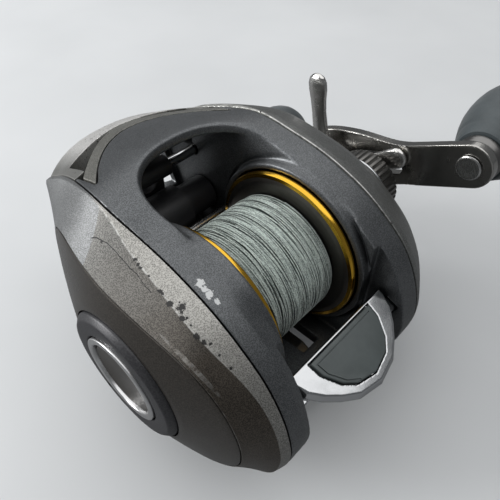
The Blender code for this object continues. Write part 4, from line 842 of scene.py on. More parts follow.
def inlay_outline(grow):
    """Leaning oval."""
    cosine, sine = math.cos(INLAY_LEAN), math.sin(INLAY_LEAN)
    outline = []
    for a, b in circle(SPOOL_AXIS, 1.0, 64):
        a *= INLAY_HALF[0] + grow
        b *= INLAY_HALF[1] + grow
        outline.append((INLAY_MIDDLE[0] + a * cosine - b * sine,
                        INLAY_MIDDLE[1] + a * sine + b * cosine))
    return outline


def palm_panel_form():
    panel = cut(panel_form(), prism(inlay_outline(SEAM_GAP), *INLAY_CUT))
    return round_edges(panel, 0.12, 40.0, 2)


def inlay_form():
    return keep(prism(inlay_outline(0.0), *INLAY_CUT), panel_form(0.15))


def dial_form():
    face = DIAL_FACE_X
    dial = turned(eased([(face + 1.4, 0.0), (face + 1.4, RING_R + GAP), (face, RING_R + GAP),
                         (face, DIAL_R - 1.0), (face + 0.9, DIAL_R), (face + 2.3, DIAL_R),
                         (face + 2.3, 5.2), (-20.6, 5.2), (-20.6, 9.2), (-19.0, 9.2), (-19.0, 0.0)],
                        0.3))
    y, z = polar(SPOOL_AXIS, DIAL_R - 2.1, -58.0)
    return cut(dial, cylinder((y, z), 0.55, face - 1.0, face + 0.5, sides=32))


def dial_ring_form():
    low = DIAL_FACE_X - 0.3
    inner = RING_R - 1.5
    return turned(eased([(low, inner + 0.25), (low, RING_R), (low + 1.4, RING_R), (low + 1.4, inner)],
                        0.25))


def dial_centre_form():
    inner = RING_R - 1.8
    face = DIAL_FACE_X + 0.8
    dish = [(face, 0.0)] + [(face - 0.55 * (i / 8.0) ** 2.5, inner * i / 8.0) for i in range(1, 9)]
    return turned(dish + [(DIAL_FACE_X + 1.1, inner), (DIAL_FACE_X + 1.1, 0.0)])


# ---------------------------------------------------------------- spool and line

FLANGE_R = 17.0
SPOOL_HALF = 11.2
RIM_WIDTH = 1.15
FLANGE_X = SPOOL_HALF - RIM_WIDTH - 0.45       # inner face of a flange
PACK_R = 12.72
STRAND_STEPS = 40
STRAND_R = 0.155
LINE_TURNS = 43
# Start, end and number of turns of each loop that crosses over the others.
CROSSINGS = ((-8.4, 6.8, 7.0), (8.6, -7.6, 6.0), (-6.0, 8.8, 5.0), (4.5, -8.8, 6.5), (-8.8, 1.5, 4.0),
             (8.8, -2.0, 5.0), (-3.5, 8.6, 8.0), (6.5, -5.5, 9.0), (-8.8, 8.8, 10.0))


def spool_form():
    """Spool with its two flanges, without their gold rims."""
    bore = 2.0
    right = [(FLANGE_X - 0.2, 8.5), (FLANGE_X, 12.6), (FLANGE_X + 0.1, 15.2),
             (SPOOL_HALF - RIM_WIDTH, FLANGE_R - 0.16), (SPOOL_HALF - 0.1, FLANGE_R - 0.16),
             (SPOOL_HALF - 0.1, FLANGE_R - 0.9), (FLANGE_X + 0.9, 15.0), (FLANGE_X + 0.9, 7.8)]
    left = [(-x, r) for x, r in reversed(right)]
    profile = [(-SPOOL_HALF + 0.4, bore), (-SPOOL_HALF + 0.4, 3.6), (-5.0, 3.6),
               (-5.0, 7.4)] + left + right
    profile += [(FLANGE_X + 0.9, 3.6), (SPOOL_HALF - 0.1, 3.4), (SPOOL_HALF - 0.1, bore)]
    return turned(eased(profile, 0.2))


def rim_form(side):
    """Anodised band on the edge of a flange."""
    low = SPOOL_HALF - RIM_WIDTH - 0.25
    profile = [(low, FLANGE_R - 0.85), (low + 0.12, FLANGE_R - 0.16), (low + 0.4, FLANGE_R),
               (SPOOL_HALF, FLANGE_R), (SPOOL_HALF, FLANGE_R - 0.25), (low + 0.5, FLANGE_R - 0.25),
               (low + 0.18, FLANGE_R - 0.92)]
    return turned([(side * x, r) for x, r in profile], sides=160)


def strand(points):
    """Round strand through points, each ring square to the way the strand runs."""
    sides = 6
    bm = bmesh.new()
    rings = []
    for i, spot in enumerate(points):
        ahead = (points[min(i + 1, len(points) - 1)] - points[max(i - 1, 0)]).normalized()
        out = Vector((0.0, spot.y, spot.z)).normalized()
        side = ahead.cross(out).normalized()
        out = side.cross(ahead)
        rings.append([bm.verts.new(spot + (out * math.cos(2.0 * math.pi * k / sides)
                                           + side * math.sin(2.0 * math.pi * k / sides)) * STRAND_R)
                      for k in range(sides)])
    for low, high in zip(rings, rings[1:]):
        for k in range(sides):
            m = (k + 1) % sides
            bm.faces.new((low[k], low[m], high[m], high[k]))
    bm.faces.new(rings[0])
    bm.faces.new(rings[-1])
    return object_from(bm)


def wave(seed, turn):
    """Small smooth wander that repeats nowhere soon."""
    return (math.sin(turn * 0.37 + seed * 1.7) + 0.6 * math.sin(turn * 0.91 + seed * 3.1)
            + 0.4 * math.sin(turn * 2.3 + seed * 0.9)) / 2.0


def winding_form():
    """The outer layer: close turns that wander a little, with quicker turns crossing over them."""
    reach = FLANGE_X - 0.25
    turns = LINE_TURNS
    points = []
    total = turns * STRAND_STEPS
    for i in range(total + 1):
        angle = 2.0 * math.pi * i / STRAND_STEPS
        x = -reach + 2.0 * reach * i / total
        x += 0.26 * wave(1.0, angle * 1.1) + 0.10 * math.sin(angle + 0.6 * math.floor(i / STRAND_STEPS))
        x = max(-reach, min(reach, x))
        radius = PACK_R + 0.07 * wave(2.0, angle * 1.9)
        points.append(Vector((x, radius * math.sin(angle), radius * math.cos(angle))))
    pieces = [strand(points)]
    for seed, (start, end, loops) in enumerate(CROSSINGS):
        points = []
        total = int(loops * STRAND_STEPS)
        for i in range(total + 1):
            share = i / total
            angle = 2.0 * math.pi * i / STRAND_STEPS + seed * 1.3
            x = start + (end - start) * (share + 0.06 * math.sin(angle * 0.5 + seed))
            x = max(-reach, min(reach, x))
            lift = 0.2 * smooth_step(share * 14.0) * smooth_step((1.0 - share) * 14.0)
            radius = PACK_R + lift + 0.03 * wave(seed + 4.0, angle * 1.3)
            points.append(Vector((x, radius * math.sin(angle), radius * math.cos(angle))))
        pieces.append(strand(points))
    bm = bmesh.new()
    for piece in pieces:
        bm.from_mesh(piece.data)
        bpy.data.objects.remove(piece, do_unlink=True)
    return object_from(bm)


def pack_form():
    """What lies under the outer layer, a little uneven."""
    profile = [(-FLANGE_X + 0.02, 8.9)]
    for i in range(41):
        share = i / 40.0
        x = -(FLANGE_X - 0.05) + 2.0 * (FLANGE_X - 0.05) * share
        drop = 0.5 * (1.0 - smooth_step(min(share, 1.0 - share) * 30.0))
        profile.append((x, PACK_R - 0.12 - drop + 0.04 * math.sin(i * 2.4)))
    profile.append((FLANGE_X - 0.02, 8.9))
    return turned(profile)


# ---------------------------------------------------------------- level wind

TUBE_R = 4.0
CARRIAGE_HALF = 4.5
EYE_R = 1.6
EYE_Z = 5.4


def rod_form(spot, radius):
    """Rod across the bay, with its ends rounded."""
    reach = BAY_HALF + 0.35
    return turned(eased([(-reach, 0.0), (-reach, radius), (reach, radius), (reach, 0.0)], 0.2), spot,
                  sides=48)


def worm_cover_form():
    reach = BAY_HALF - GAP
    profile = [(-reach, TUBE_R - 0.9), (-reach, TUBE_R), (reach, TUBE_R), (reach, TUBE_R - 0.9)]
    cover = turned(eased(profile, 0.2), WORM_AXIS)
    y, z = WORM_AXIS
    return cut(cover, box((1.2 - reach, y - 1.3, z - TUBE_R - 1.0), (reach - 1.2, y + 1.3, z - 1.0)))


def guide_form():
    """Carriage of the line guide: a sleeve on the worm's tube and a plate on the front rod."""
    y, z = WORM_AXIS
    half = CARRIAGE_HALF
    bore = TUBE_R + GAP
    front = GUIDE_BAR[0] + 1.2
    guide = cylinder(WORM_AXIS, bore + 0.9, -half, half)
    join(guide, round_edges(box((-half, front, z - 3.0), (half, front + 2.4, GUIDE_BAR[1] + 1.9)), 0.4),
         box((0.2 - half, y + 3.2, z - 3.2), (half - 0.2, front + 0.6, z + 1.6)),
         cylinder(GUIDE_BAR, 2.3, -half, half, sides=64))
    return cut(guide, cylinder(WORM_AXIS, bore, -half - 1.0, half + 1.0),
               cylinder(GUIDE_BAR, GUIDE_BAR_R + GAP, -half - 1.0, half + 1.0, sides=48),
               cylinder((0.0, EYE_Z), EYE_R + 1.1, front - 1.0, front + 4.0, 'Y', 64),
               cylinder((0.0, y), 1.3, z - bore - 2.0, z - 2.0, 'Z', 32))


def eye_form():
    low = GUIDE_BAR[0] + 1.0
    return turned(eased([(low, EYE_R + 0.4), (low, EYE_R + 0.8), (low + 3.0, EYE_R + 0.8),
                         (low + 3.0, EYE_R + 0.4), (low + 1.5, EYE_R - 0.1)], 0.4), (0.0, EYE_Z), 'Y',
                  64)


# ---------------------------------------------------------------- handle side

COVER_FACE_X = 29.3
CAP_R = 8.1
CAP_RIDGES = 38
CAP_LOW_X = 35.6
CAP_END_X = 41.0
STAR_ARM_X = 41.4
STAR_ARM_R = 24.0
STAR_ANGLE = 75.5
HANDLE_X = 47.0
HANDLE_THICKNESS = 2.4
HANDLE_CRANK = 2.2
HANDLE_HALF = 37.5
HANDLE_ANGLE = 153.4
HANDLE_HUB_R = 8.8
HANDLE_END_R = 4.9
DRIVE_FIT_R = 2.9               # holes that sit on the drive shaft
KNOB_LENGTH = 25.0
KNOB_STAND = 2.7                # from the arm's face to the knob
KNOB_END = 0.985                # share of the knob's length where its end cap sits
KNOB_R = 9.6
PIN_R = 1.6


def cover_rings(inset):
    """Rings of the handle side cover, from its seam to its outer face."""
    stops = ((1.0, None), (0.985, 20.9), (0.96, 22.4), (0.93, 24.1), (0.9, 25.6), (0.862, 26.9),
             (0.82, 28.0), (0.77, 28.9), (0.72, COVER_FACE_X))
    rings = []
    for share, stop in stops:
        ring = []
        for spot in seam_ring(1.0, BODY_CURVE):
            away = (spot.yz - Vector(BODY_MIDDLE)) * share
            away *= 1.0 - inset / away.length
            x = spot.x if stop is None else stop - (BODY_HALF - spot.x) * 0.6 * (1.0 - inset / 4.0)
            ring.append(Vector((x, BODY_MIDDLE[0] + away.x, BODY_MIDDLE[1] + away.y)))
        rings.append(ring)
    return rings


def cover_form():
    """Handle side cover, hollow, with its stepped boss and the screws' seats."""
    cover = lofted(cover_rings(0.0))
    hollow = cover_rings(1.7)
    for spot in hollow[0]:
        spot.x = 15.0
    for ring in hollow[5:]:
        for spot in ring:
            spot.x = min(spot.x - 1.2, COVER_FACE_X - 1.7)
    cut(cover, lofted(hollow))
    drive_boss = [(26.0, 0.0), (26.0, 7.6), (30.0, 7.9), (32.6, 7.6), (33.5, 6.8), (33.5, 0.0)]
    join(cover, cylinder(SPOOL_AXIS, 6.3, 25.0, 29.0),
         turned(eased([(27.0, 0.0), (27.0, 10.2), (32.6, 9.4), (34.4, 8.8), (34.4, 0.0)], 0.6)),
         turned(eased(drive_boss, 0.5), DRIVE_AXIS),
         cylinder(SPOOL_AXIS, 6.4, 34.0, 38.2))
    cut(cover, cylinder(SPOOL_AXIS, 5.05, 24.0, 30.1), cylinder(SPOOL_AXIS, 2.4, 26.0, 40.0),
        cylinder(SPOOL_AXIS, 4.75, 34.7, 40.0), cylinder(DRIVE_AXIS, 6.5, 24.0, 33.0),
        cylinder(DRIVE_AXIS, 4.4, 24.0, 40.0))
    for spot in ((22.0, 7.0), (-14.5, -8.5)):
        cut(cover, cylinder(spot, 2.2, COVER_FACE_X - 0.8, COVER_FACE_X + 4.0, sides=48),
            cylinder(spot, 1.4, 20.0, COVER_FACE_X + 4.0, sides=32))
    return soften(cover, 0.2, 5)


def ridged_ring(x, radius, depth):
    """Ring with ridges of the given depth."""
    ring = []
    for i in range(CAP_RIDGES):
        for share, drop in ((0.0, 0.0), (0.22, 0.0), (0.42, 0.0), (0.52, 0.7), (0.72, 1.0), (0.9, 0.7)):
            degrees = 360.0 * (i + share) / CAP_RIDGES
            ring.append(Vector((x, *polar(SPOOL_AXIS, radius - drop * depth, degrees))))
    return ring


def cap_form():
    rings = [(CAP_LOW_X, 0.5, 0.0), (CAP_LOW_X + 0.35, 0.08, 0.3), (CAP_LOW_X + 0.7, 0.0, 0.55),
             (CAP_END_X - 1.0, 0.0, 0.55), (CAP_END_X - 0.45, 0.18, 0.4),
             (CAP_END_X - 0.12, 0.55, 0.15),
             (CAP_END_X, 1.1, 0.0)]
    cap = lofted([ridged_ring(x, CAP_R - inset, depth) for x, inset, depth in rings])
    return cut(cap, cylinder(SPOOL_AXIS, 6.7, CAP_LOW_X - 1.0, 38.8))


def collar_form():
    return turned(eased([(34.7, 6.7), (34.7, 8.8), (35.3, 8.8), (35.3, 6.7)], 0.2))


def star_arm(turn):
    """One arm of the star drag, flattened to a paddle at its tip."""
    way = Vector((0.0, math.cos(math.radians(turn)), math.sin(math.radians(turn))))
    side = Vector((0.0, -way.z, way.y))
    hub = Vector((STAR_ARM_X + 0.9, *DRIVE_AXIS))
    stations = ((0.12, 3.6, 0.95, 0.0), (0.25, 2.8, 0.9, 0.0), (0.38, 2.35, 0.85, 0.0),
                (0.5, 2.1, 0.85, 0.05), (0.62, 2.0, 0.85, 0.1), (0.74, 2.15, 0.9, 0.3),
                (0.84, 2.5, 1.0, 0.5), (0.91, 2.5, 1.0, 0.6), (0.96, 2.0, 0.85, 0.6),
                (0.987, 1.2, 0.55, 0.6), (0.999, 0.4, 0.2, 0.6))
    rings = []
    for share, wide, thick, lift in stations:
        middle_of = hub + way * (STAR_ARM_R * share) + Vector((lift, 0.0, 0.0))
        rings.append([middle_of + side * math.copysign(abs(a) ** 0.8, a) * wide
                      + Vector((math.copysign(abs(b) ** 0.8, b) * thick, 0.0, 0.0))
                      for a, b in circle(SPOOL_AXIS, 1.0, 24)])
    return lofted(rings)


def star_form():
    hub = turned(eased([(36.8, 0.0), (36.8, 5.2), (41.3, 5.2), (41.5, 5.8), (43.0, 5.8), (43.3, 4.6),
                        (43.3, 0.0)], 0.3), DRIVE_AXIS)
    join(hub, *[star_arm(STAR_ANGLE + 72.0 * i) for i in range(5)])
    cut(hub, cylinder(DRIVE_AXIS, DRIVE_FIT_R, 36.0, 45.0, sides=64))
    return soften(hub, 0.16, 4)


def handle_spot(run, across, x):
    """Point of the handle: run along the arm from the drive shaft, and across it."""
    turn = math.radians(HANDLE_ANGLE)
    return Vector((x, DRIVE_AXIS[0] + run * math.cos(turn) - across * math.sin(turn),
                   DRIVE_AXIS[1] + run * math.sin(turn) + across * math.cos(turn)))


def handle_x(run):
    """The arm steps towards the body on its way to the knobs."""
    return HANDLE_X - HANDLE_CRANK * smooth_step((abs(run) - 9.0) / 17.0)


def handle_half(run):
    """Half width of the arm."""
    run = abs(run)
    waist = HANDLE_END_R - 0.1
    if run > HANDLE_HALF:
        return math.sqrt(max(0.01, HANDLE_END_R ** 2 - (run - HANDLE_HALF) ** 2))
    return waist + (HANDLE_HUB_R - waist) * (1.0 - smooth_step(run / 24.0)) + 0.1 * run / HANDLE_HALF


ARM_FACE_X = handle_x(HANDLE_HALF) + HANDLE_THICKNESS / 2.0      # at the knobs
KNOB_LOW_X = ARM_FACE_X + KNOB_STAND


def knob_axis(side):
    return handle_spot(side * HANDLE_HALF, 0.0, 0.0).yz


def window_outline(side):
    corners = ((8.8, 2.2), (9.8, 2.9), (20.4, 2.3), (21.4, 1.2), (21.4, -1.2), (20.4, -2.3),
               (9.8, -2.9), (8.8, -2.2))
    return [tuple(handle_spot(side * run, across, 0.0).yz) for run, across in corners]


def arm_form():
    """Handle arm, stepped towards the body, with a window on each side of its hub."""
    runs = [i * 1.0 for i in range(38)] + [HANDLE_HALF + HANDLE_END_R * math.sin(math.pi * i / 24.0)
                                           for i in range(12)]
    runs = [-run for run in reversed(runs[1:])] + runs
    half = HANDLE_THICKNESS / 2.0
    rings = []
    for run in runs:
        x = handle_x(run)
        wide = handle_half(run)
        rings.append([handle_spot(run, -wide, x - half), handle_spot(run, wide, x - half),
                      handle_spot(run, wide, x + half), handle_spot(run, -wide, x + half)])
    arm = lofted(rings)
    through = (HANDLE_X - 9.0, HANDLE_X + 9.0)
    for side in (-1, 1):
        cut(arm, prism(window_outline(side), *through),
            cylinder(knob_axis(side), PIN_R + GAP, *through, sides=48))
    cut(arm, cylinder(DRIVE_AXIS, DRIVE_FIT_R, *through, sides=64))
    return soften(arm, 0.16, 7)


def nut_form():
    low = HANDLE_X + HANDLE_THICKNESS / 2.0 + GAP
    nut = turned([(low, 0.0), (low, 5.6), (low + 0.7, 5.6), (low + 0.8, 4.7), (low + 3.4, 4.7),
                  (low + 3.8, 4.2), (low + 3.8, 0.0)], DRIVE_AXIS, sides=6)
    cut(nut, cylinder(DRIVE_AXIS, DRIVE_FIT_R, low - 1.0, low + 2.7, sides=48))
    return round_edges(nut, 0.15, 30.0, 2)


def pin_form(side):
    spot = knob_axis(side)
    face = ARM_FACE_X - HANDLE_THICKNESS
    profile = [(face - 0.5, 0.0), (face - 0.68, 2.0), (face - 0.68, 2.4), (face - 0.5, 2.7),
               (face - 0.3, 2.7), (face - 0.3, PIN_R), (face + 21.0, PIN_R), (face + 21.0, 0.0)]
    return turned(eased(profile, 0.12), spot, sides=96)


def knob_collar_form(side):
    low = ARM_FACE_X + 0.3
    high = ARM_FACE_X + 2.4
    profile = [(low, PIN_R + GAP), (low, 4.6), (ARM_FACE_X + 1.6, 5.0), (high, 5.0), (high, PIN_R + GAP)]
    return turned(eased(profile, 0.25), knob_axis(side))


def knob_form(side):
    """Soft knob: a paddle-like bulb, with a shallow moulded line round its waist."""
    spot = knob_axis(side)
    low = KNOB_LOW_X
    stations = [(0.0, 0.58), (0.02, 0.62), (0.08, 0.69), (0.16, 0.78), (0.26, 0.87), (0.36, 0.94),
                (0.46, 0.98), (0.56, 0.998), (0.64, 0.995), (0.72, 0.97), (0.8, 0.91), (0.87, 0.82),
                (0.93, 0.69), (0.97, 0.54), (KNOB_END, 0.42)]
    profile = [(low, PIN_R + GAP)]
    for (s0, w0), (s1, w1) in zip(stations, stations[1:]):
        for step in range(4):
            share = s0 + (s1 - s0) * step / 4.0
            wide = w0 + (w1 - w0) * step / 4.0
            groove = 0.018 * math.exp(-((share - 0.12) / 0.012) ** 2)
            profile.append((low + KNOB_LENGTH * share, KNOB_R * (wide - groove)))
    recess = low + KNOB_LENGTH * KNOB_END
    profile += [(recess, 4.03), (recess, 3.7), (recess - 1.8, 3.7), (recess - 1.8, PIN_R + GAP)]
    return turned(profile, spot, sides=160)


def knob_cap_form(side):
    spot = knob_axis(side)
    top = KNOB_LOW_X + KNOB_LENGTH * KNOB_END
    return turned(eased([(top - 1.5, 0.0), (top - 1.5, 3.4), (top - 0.1, 3.4), (top + 0.2, 3.0),
                         (top + 0.34, 0.0)], 0.15), spot, sides=96)


# ---------------------------------------------------------------- thumb bar

THUMB_HALF = REAR_HALF - 0.4
THUMB_DEPTH = 12.0
PAD_HALF = 8.6
PAD_DEPTH = 9.6
PAD_START = 0.85


def mirrored(right, tip):
    """Outline from its right half, by way of a tip in the middle."""
    return right + [(0.0, tip)] + [(-x, v) for x, v in reversed(right)]


def thumb_outline(half, depth, start):
    """Rounded outline in the bar's own plane: wide in front, narrow behind."""
    right = [(half, start), (half, 0.13 * depth), (0.935 * half, 0.34 * depth),
             (0.785 * half, 0.55 * depth), (0.595 * half, 0.74 * depth), (0.37 * half, 0.91 * depth)]
    return mirrored(right, depth)


def pad_outline(grow):
    """The pad's outline, which also cuts its seat."""
    half = PAD_HALF + grow
    start = PAD_START - grow
    reach = PAD_DEPTH + grow - start
    right = [(half, start), (0.965 * half, start + 0.31 * reach),
             (0.744 * half, start + 0.68 * reach), (0.49 * half, start + 0.885 * reach)]
    return mirrored(right, start + reach)


def thumb_prism(outline, low, high):
    """Extrude an outline in the thumb bar's own directions."""
    return lofted([[thumb_point(x, v, w) for x, v in outline] for w in (low, high)])


def thumb_bar_form():
    """Bar with a slanted bevel all round, sloping sides and a step inside the pocket."""
    rings = []
    for w, inset, start in ((0.0, 0.9, 0.25), (-0.3, 0.55, 0.15), (-1.2, 0.0, 0.1), (-1.6, 0.0, 0.15),
                            (-4.2, 0.8, 1.1), (-4.6, 1.2, 1.3)):
        outline = thumb_outline(THUMB_HALF - inset, THUMB_DEPTH - inset, start)
        rings.append([thumb_point(x, v, w) for x, v in outline])
    bar = lofted(rings)
    for side in (-1, 1):
        join(bar, round_edges(thumb_block((side * (THUMB_HALF - 3.0), 2.4, -4.2),
                                          (side * (REAR_HALF + 0.6), 5.0, -1.6)), 0.2))
    cut(bar, thumb_prism(pad_outline(0.3), -1.0, 2.0))
    return soften(bar, 0.12, 3)


def thumb_pad_form():
    """Pad with a lower border on its front and palm side, cut off by a fine groove."""
    pad = round_edges(thumb_prism(pad_outline(0.0), -0.7, 0.35), 0.22, 30.0, 3)
    groove = [(-7.9, 1.55), (7.6, 1.55), (7.6, 1.75), (-7.6, 1.75), (-7.3, 3.9), (-5.4, 6.9),
              (-3.2, 8.4), (-3.35, 8.6), (-5.6, 7.1), (-7.55, 4.0)]
    return cut(pad, thumb_prism(groove, 0.12, 1.0))


def foot_form():
    """Foot: a pad under the body that thins to a blade at each end."""
    top = FLOOR_Z - GAP
    bottom = -AXIS_HEIGHT
    tip = bottom + 1.3
    foot = prism([(-19.0, bottom), (38.0, bottom), (38.0, tip), (17.0, top), (-10.0, top),
                  (-19.0, tip)], -7.0, 7.0)
    plan = [(7.0, -10.0), (7.0, 16.0), (5.8, 35.0), (4.0, 38.0), (-4.0, 38.0), (-5.8, 35.0),
            (-7.0, 16.0), (-7.0, -10.0), (-5.8, -16.0), (-4.0, -19.0), (4.0, -19.0), (5.8, -16.0)]
    keep(foot, prism(plan, bottom - 1.0, top + 1.0, 'Z'))
    for y in FOOT_SCREWS_Y:
        cut(foot, turned([(bottom - 1.0, 0.0), (bottom - 1.0, 2.9), (bottom + 1.1, 2.9),
                          (bottom + 1.1, FOOT_SCREW_HOLE_R), (top + 1.0, FOOT_SCREW_HOLE_R),
                          (top + 1.0, 0.0)], (0.0, y), 'Z', 48))
    return soften(foot, 0.16, 3)


# ---------------------------------------------------------------- finishes

# Angle round the spool and radius of each scuff on the palm side's rail.
SCUFFS = ((109.0, 0.62), (112.0, 0.55), (115.0, 0.6), (113.0, 0.35), (120.0, 0.4))
SCUFF_INSET = 1.7               # from the seam towards the spool


def frame_paint():
    """Dark grey paint, rubbed pale on its edges, scuffed on the palm side's rail, painted shade in
    recesses.
    """
    made = flake_paint("frame paint", (0.036, 0.039, 0.042), (0.150, 0.157, 0.163), 0.34, 0.6)
    rubbed = made.ramp(made.noise(700.0, 4.0, 0.7), 0.55, 0.70)
    edge = made.node("ShaderNodeNewGeometry").outputs["Pointiness"]
    worn = made.times(made.ramp(edge, 0.52, 0.58), rubbed)
    colour = made.mix(made.times(worn, 0.6), made.colour, (0.36, 0.37, 0.37))
    ragged = made.ramp(made.noise(1500.0, 4.0, 0.7, seed=0.5), 0.3, 0.7, -0.9, 0.9)
    scuffed = 0.0
    for degrees, radius in SCUFFS:
        spot = palm_spot(degrees, 0.0) + Vector((SCUFF_INSET, 0.0, 0.0))
        scuffed = made.most(scuffed, made.near(spot, radius, ragged))
    # Painted shade: the colour darkens to near black deep in the frame's recesses.
    colour = made.mix(made.recess(0.009, 0.30, 0.72), (0.008, 0.009, 0.010), colour)
    made.link(made.mix(scuffed, colour, (0.55, 0.56, 0.56)), "Base Color")
    made.bump(made.noise(2600.0, 2.0, 0.5), 0.25, 0.00006)
    return made.material


# Angle, share and radius of each place where the paint is knocked off the palm cover.
CHIPS = ((80.0, 1.02, 0.38), (82.5, 1.03, 0.30), (84.5, 1.03, 0.26), (90.0, 1.0, 0.20),
         (99.0, 1.01, 0.30), (101.0, 1.0, 0.22), (107.0, 1.0, 0.42), (111.5, 0.74, 0.66),
         (113.5, 0.86, 0.30), (116.0, 1.0, 0.40), (117.5, 0.82, 0.20), (121.0, 0.9, 0.20),
         (127.0, 1.01, 0.50), (131.0, 0.96, 0.34), (133.0, 0.8, 0.20), (139.0, 0.85, 0.16),
         (146.0, 0.9, 0.22), (63.0, 1.4, 0.22))


def palm_paint():
    """Bright shoulder above the crease as painted highlight, darker browner facets below as painted
    shade and reflection, chips along it.
    """
    made = flake_paint("palm paint", (0.15, 0.147, 0.137), (0.47, 0.46, 0.43), 0.36, 0.75, 1.1)
    _, y, z = made.place()
    node = made.node("ShaderNodeAttribute")
    node.attribute_name = "share"
    share = node.outputs["Fac"]
    turn = made.times(made.math('ARCTAN2', z, y), 180.0 / math.pi)     # degrees round the spool
    # Lit and shaded copies of the paint: grey is painted shade, brown a painted dark reflection, front
    # the front facet's painted light.
    grey = made.mix(made.flakes, (0.062, 0.061, 0.057), (0.25, 0.246, 0.232))
    brown = made.mix(made.flakes, (0.028, 0.024, 0.020), (0.115, 0.098, 0.080))
    front = made.mix(made.flakes, (0.085, 0.088, 0.090), (0.31, 0.317, 0.32))
    drift = made.ramp(made.noise(70.0, 2.0, 0.5), 0.3, 0.7, -4.0, 4.0)
    rear = made.ramp(made.plus(y, drift), 7.0, -11.0)
    under = made.ramp(share, 0.985, 1.02)
    dim = made.times(made.ramp(z, 9.0, -6.0), 0.65)
    # Painted light: the bright shoulder fades to grey lower down, and below the crease grey turns to
    # painted brown reflection towards the rear.
    shade = made.mix(under, made.mix(dim, made.colour, grey), made.mix(rear, grey, brown))
    # The front facet takes a painted tone of its own for how light falls on it: its edge leans from 46
    # degrees at the seam to 61 at the panel.
    facet = made.above(made.plus(made.times(share, 7.5), 46.0), turn)
    facet = made.times(facet, made.above(turn, -30.0))
    shade = made.mix(facet, shade, front)
    # Wear: a pale line along the crease, and a fainter one on the lip at the panel.
    rub = made.ramp(made.noise(800.0, 4.0, 0.7, seed=0.12), 0.40, 0.60)
    span = made.times(made.ramp(turn, 52.0, 58.0), made.ramp(turn, 150.0, 118.0))
    ridge = made.ramp(made.absolute(made.minus(share, 1.0)), 0.045, 0.015)
    lip = made.times(made.times(made.ramp(share, 1.975, 1.99), made.ramp(turn, 100.0, 125.0)), 0.3)
    light = made.most(made.times(ridge, span), lip)
    shade = made.mix(made.times(light, rub), shade, (0.52, 0.52, 0.50))
    # A crack in the paint below the crease: it starts near the front facet and bends to run beside it.
    wander = made.ramp(made.noise(260.0, 3.0, 0.6, seed=0.4), 0.2, 0.8, -0.05, 0.05)
    bend = made.times(made.math('POWER', 2.718, made.times(made.minus(57.0, turn), 0.12)), 0.32)
    path = made.plus(made.plus(bend, 1.22), wander)
    crack = made.ramp(made.absolute(made.minus(share, path)), 0.014, 0.007)
    crack = made.times(crack, made.times(made.above(turn, 57.0), made.below(turn, 97.0)))
    # Chips, and specks between them.
    ragged = made.ramp(made.noise(1700.0, 4.0, 0.7), 0.3, 0.7, -0.75, 0.75)
    chipped = crack
    for degrees, along, radius in CHIPS:
        chipped = made.most(chipped, made.near(palm_spot(degrees, along), radius, ragged))
    band = made.times(made.ramp(share, 0.55, 0.9), made.ramp(share, 1.12, 1.03))
    specks = made.above(made.noise(1250.0, 3.0, 0.7, seed=0.31), 0.70)
    specks = made.times(specks, made.times(band, made.ramp(turn, 175.0, 150.0)))
    chipped = made.most(chipped, made.times(specks, made.ramp(turn, 70.0, 85.0)))
    made.link(made.mix(chipped, shade, (0.012, 0.011, 0.010)), "Base Color")
    made.link(made.mix(chipped, (0.75, 0.75, 0.75), (0.0, 0.0, 0.0)), "Metallic")
    made.bump(made.minus(1.0, chipped), 0.6, 0.00012)
    return made.material


def trim_paint():
    """Bronze grey paint on the hood's trim, rubbed pale in patches."""
    made = flake_paint("trim paint", (0.085, 0.084, 0.076), (0.27, 0.267, 0.245), 0.40, 0.65)
    rubbed = made.ramp(made.noise(500.0, 4.0, 0.7, seed=0.2), 0.60, 0.72)
    made.link(made.mix(made.times(rubbed, 0.5), made.colour, (0.50, 0.49, 0.45)), "Base Color")
    return made.material


def cover_paint():
    """The gear side's paint: dark grey, worn pale and chipped along its seam with the frame."""
    made = flake_paint("cover paint", (0.060, 0.062, 0.060), (0.21, 0.214, 0.208), 0.38, 0.6)
    x, y, z = made.place()
    rub = made.ramp(made.noise(420.0, 4.0, 0.7, seed=0.2), 0.30, 0.55)
    seam = made.times(made.ramp(x, 19.85, 19.65), made.ramp(y, -24.0, -8.0))
    worn = made.mix(made.times(seam, rub), made.colour, (0.60, 0.60, 0.57))
    near = made.times(made.ramp(x, 21.6, 19.8), made.ramp(z, 0.0, 8.0))
    chips = made.above(made.noise(900.0, 4.0, 0.7, seed=0.6), 0.655)
    chips = made.above(made.times(near, chips), 0.5)
    made.link(made.mix(chips, worn, (0.014, 0.013, 0.012)), "Base Color")
    made.bump(made.minus(1.0, chips), 0.5, 0.0001)
    return made.material


def nose_paint():
    """Silver worn bright in its middle, with dark pits, and grey paint left at its ends."""
    made = flake_paint("nose paint", (0.42, 0.415, 0.40), (0.80, 0.79, 0.77), 0.34, 0.45)
    x, _, _ = made.place()
    ends = made.ramp(made.absolute(x), 9.0, 15.0)
    painted = made.mix(ends, made.colour, (0.20, 0.20, 0.19))
    pits = made.times(made.above(made.noise(1500.0, 4.0, 0.75), 0.60),
                     made.ramp(made.noise(220.0, 2.0, 0.5), 0.45, 0.6))
    made.link(made.mix(pits, painted, (0.06, 0.055, 0.05)), "Base Color")
    made.bump(made.minus(1.0, pits), 0.4, 0.0001)
    return made.material


def panel_finish():
    """Smooth dark brown coating with a fine grain and a drifting gloss."""
    made = Recipe("panel", (0.040, 0.035, 0.030), 0.32, 0.6, Coat_Weight=0.25, Coat_Roughness=0.18)
    fine = made.noise(4200.0, 3.0, 0.7)
    colour = made.mix(made.ramp(fine, 0.4, 0.75), (0.034, 0.030, 0.025), (0.092, 0.080, 0.068))
    made.link(colour, "Base Color")
    made.link(made.ramp(made.noise(60.0, 3.0, 0.6), 0.3, 0.7, 0.24, 0.38), "Roughness")
    made.bump(fine, 0.12, 0.00003)
    return made.material


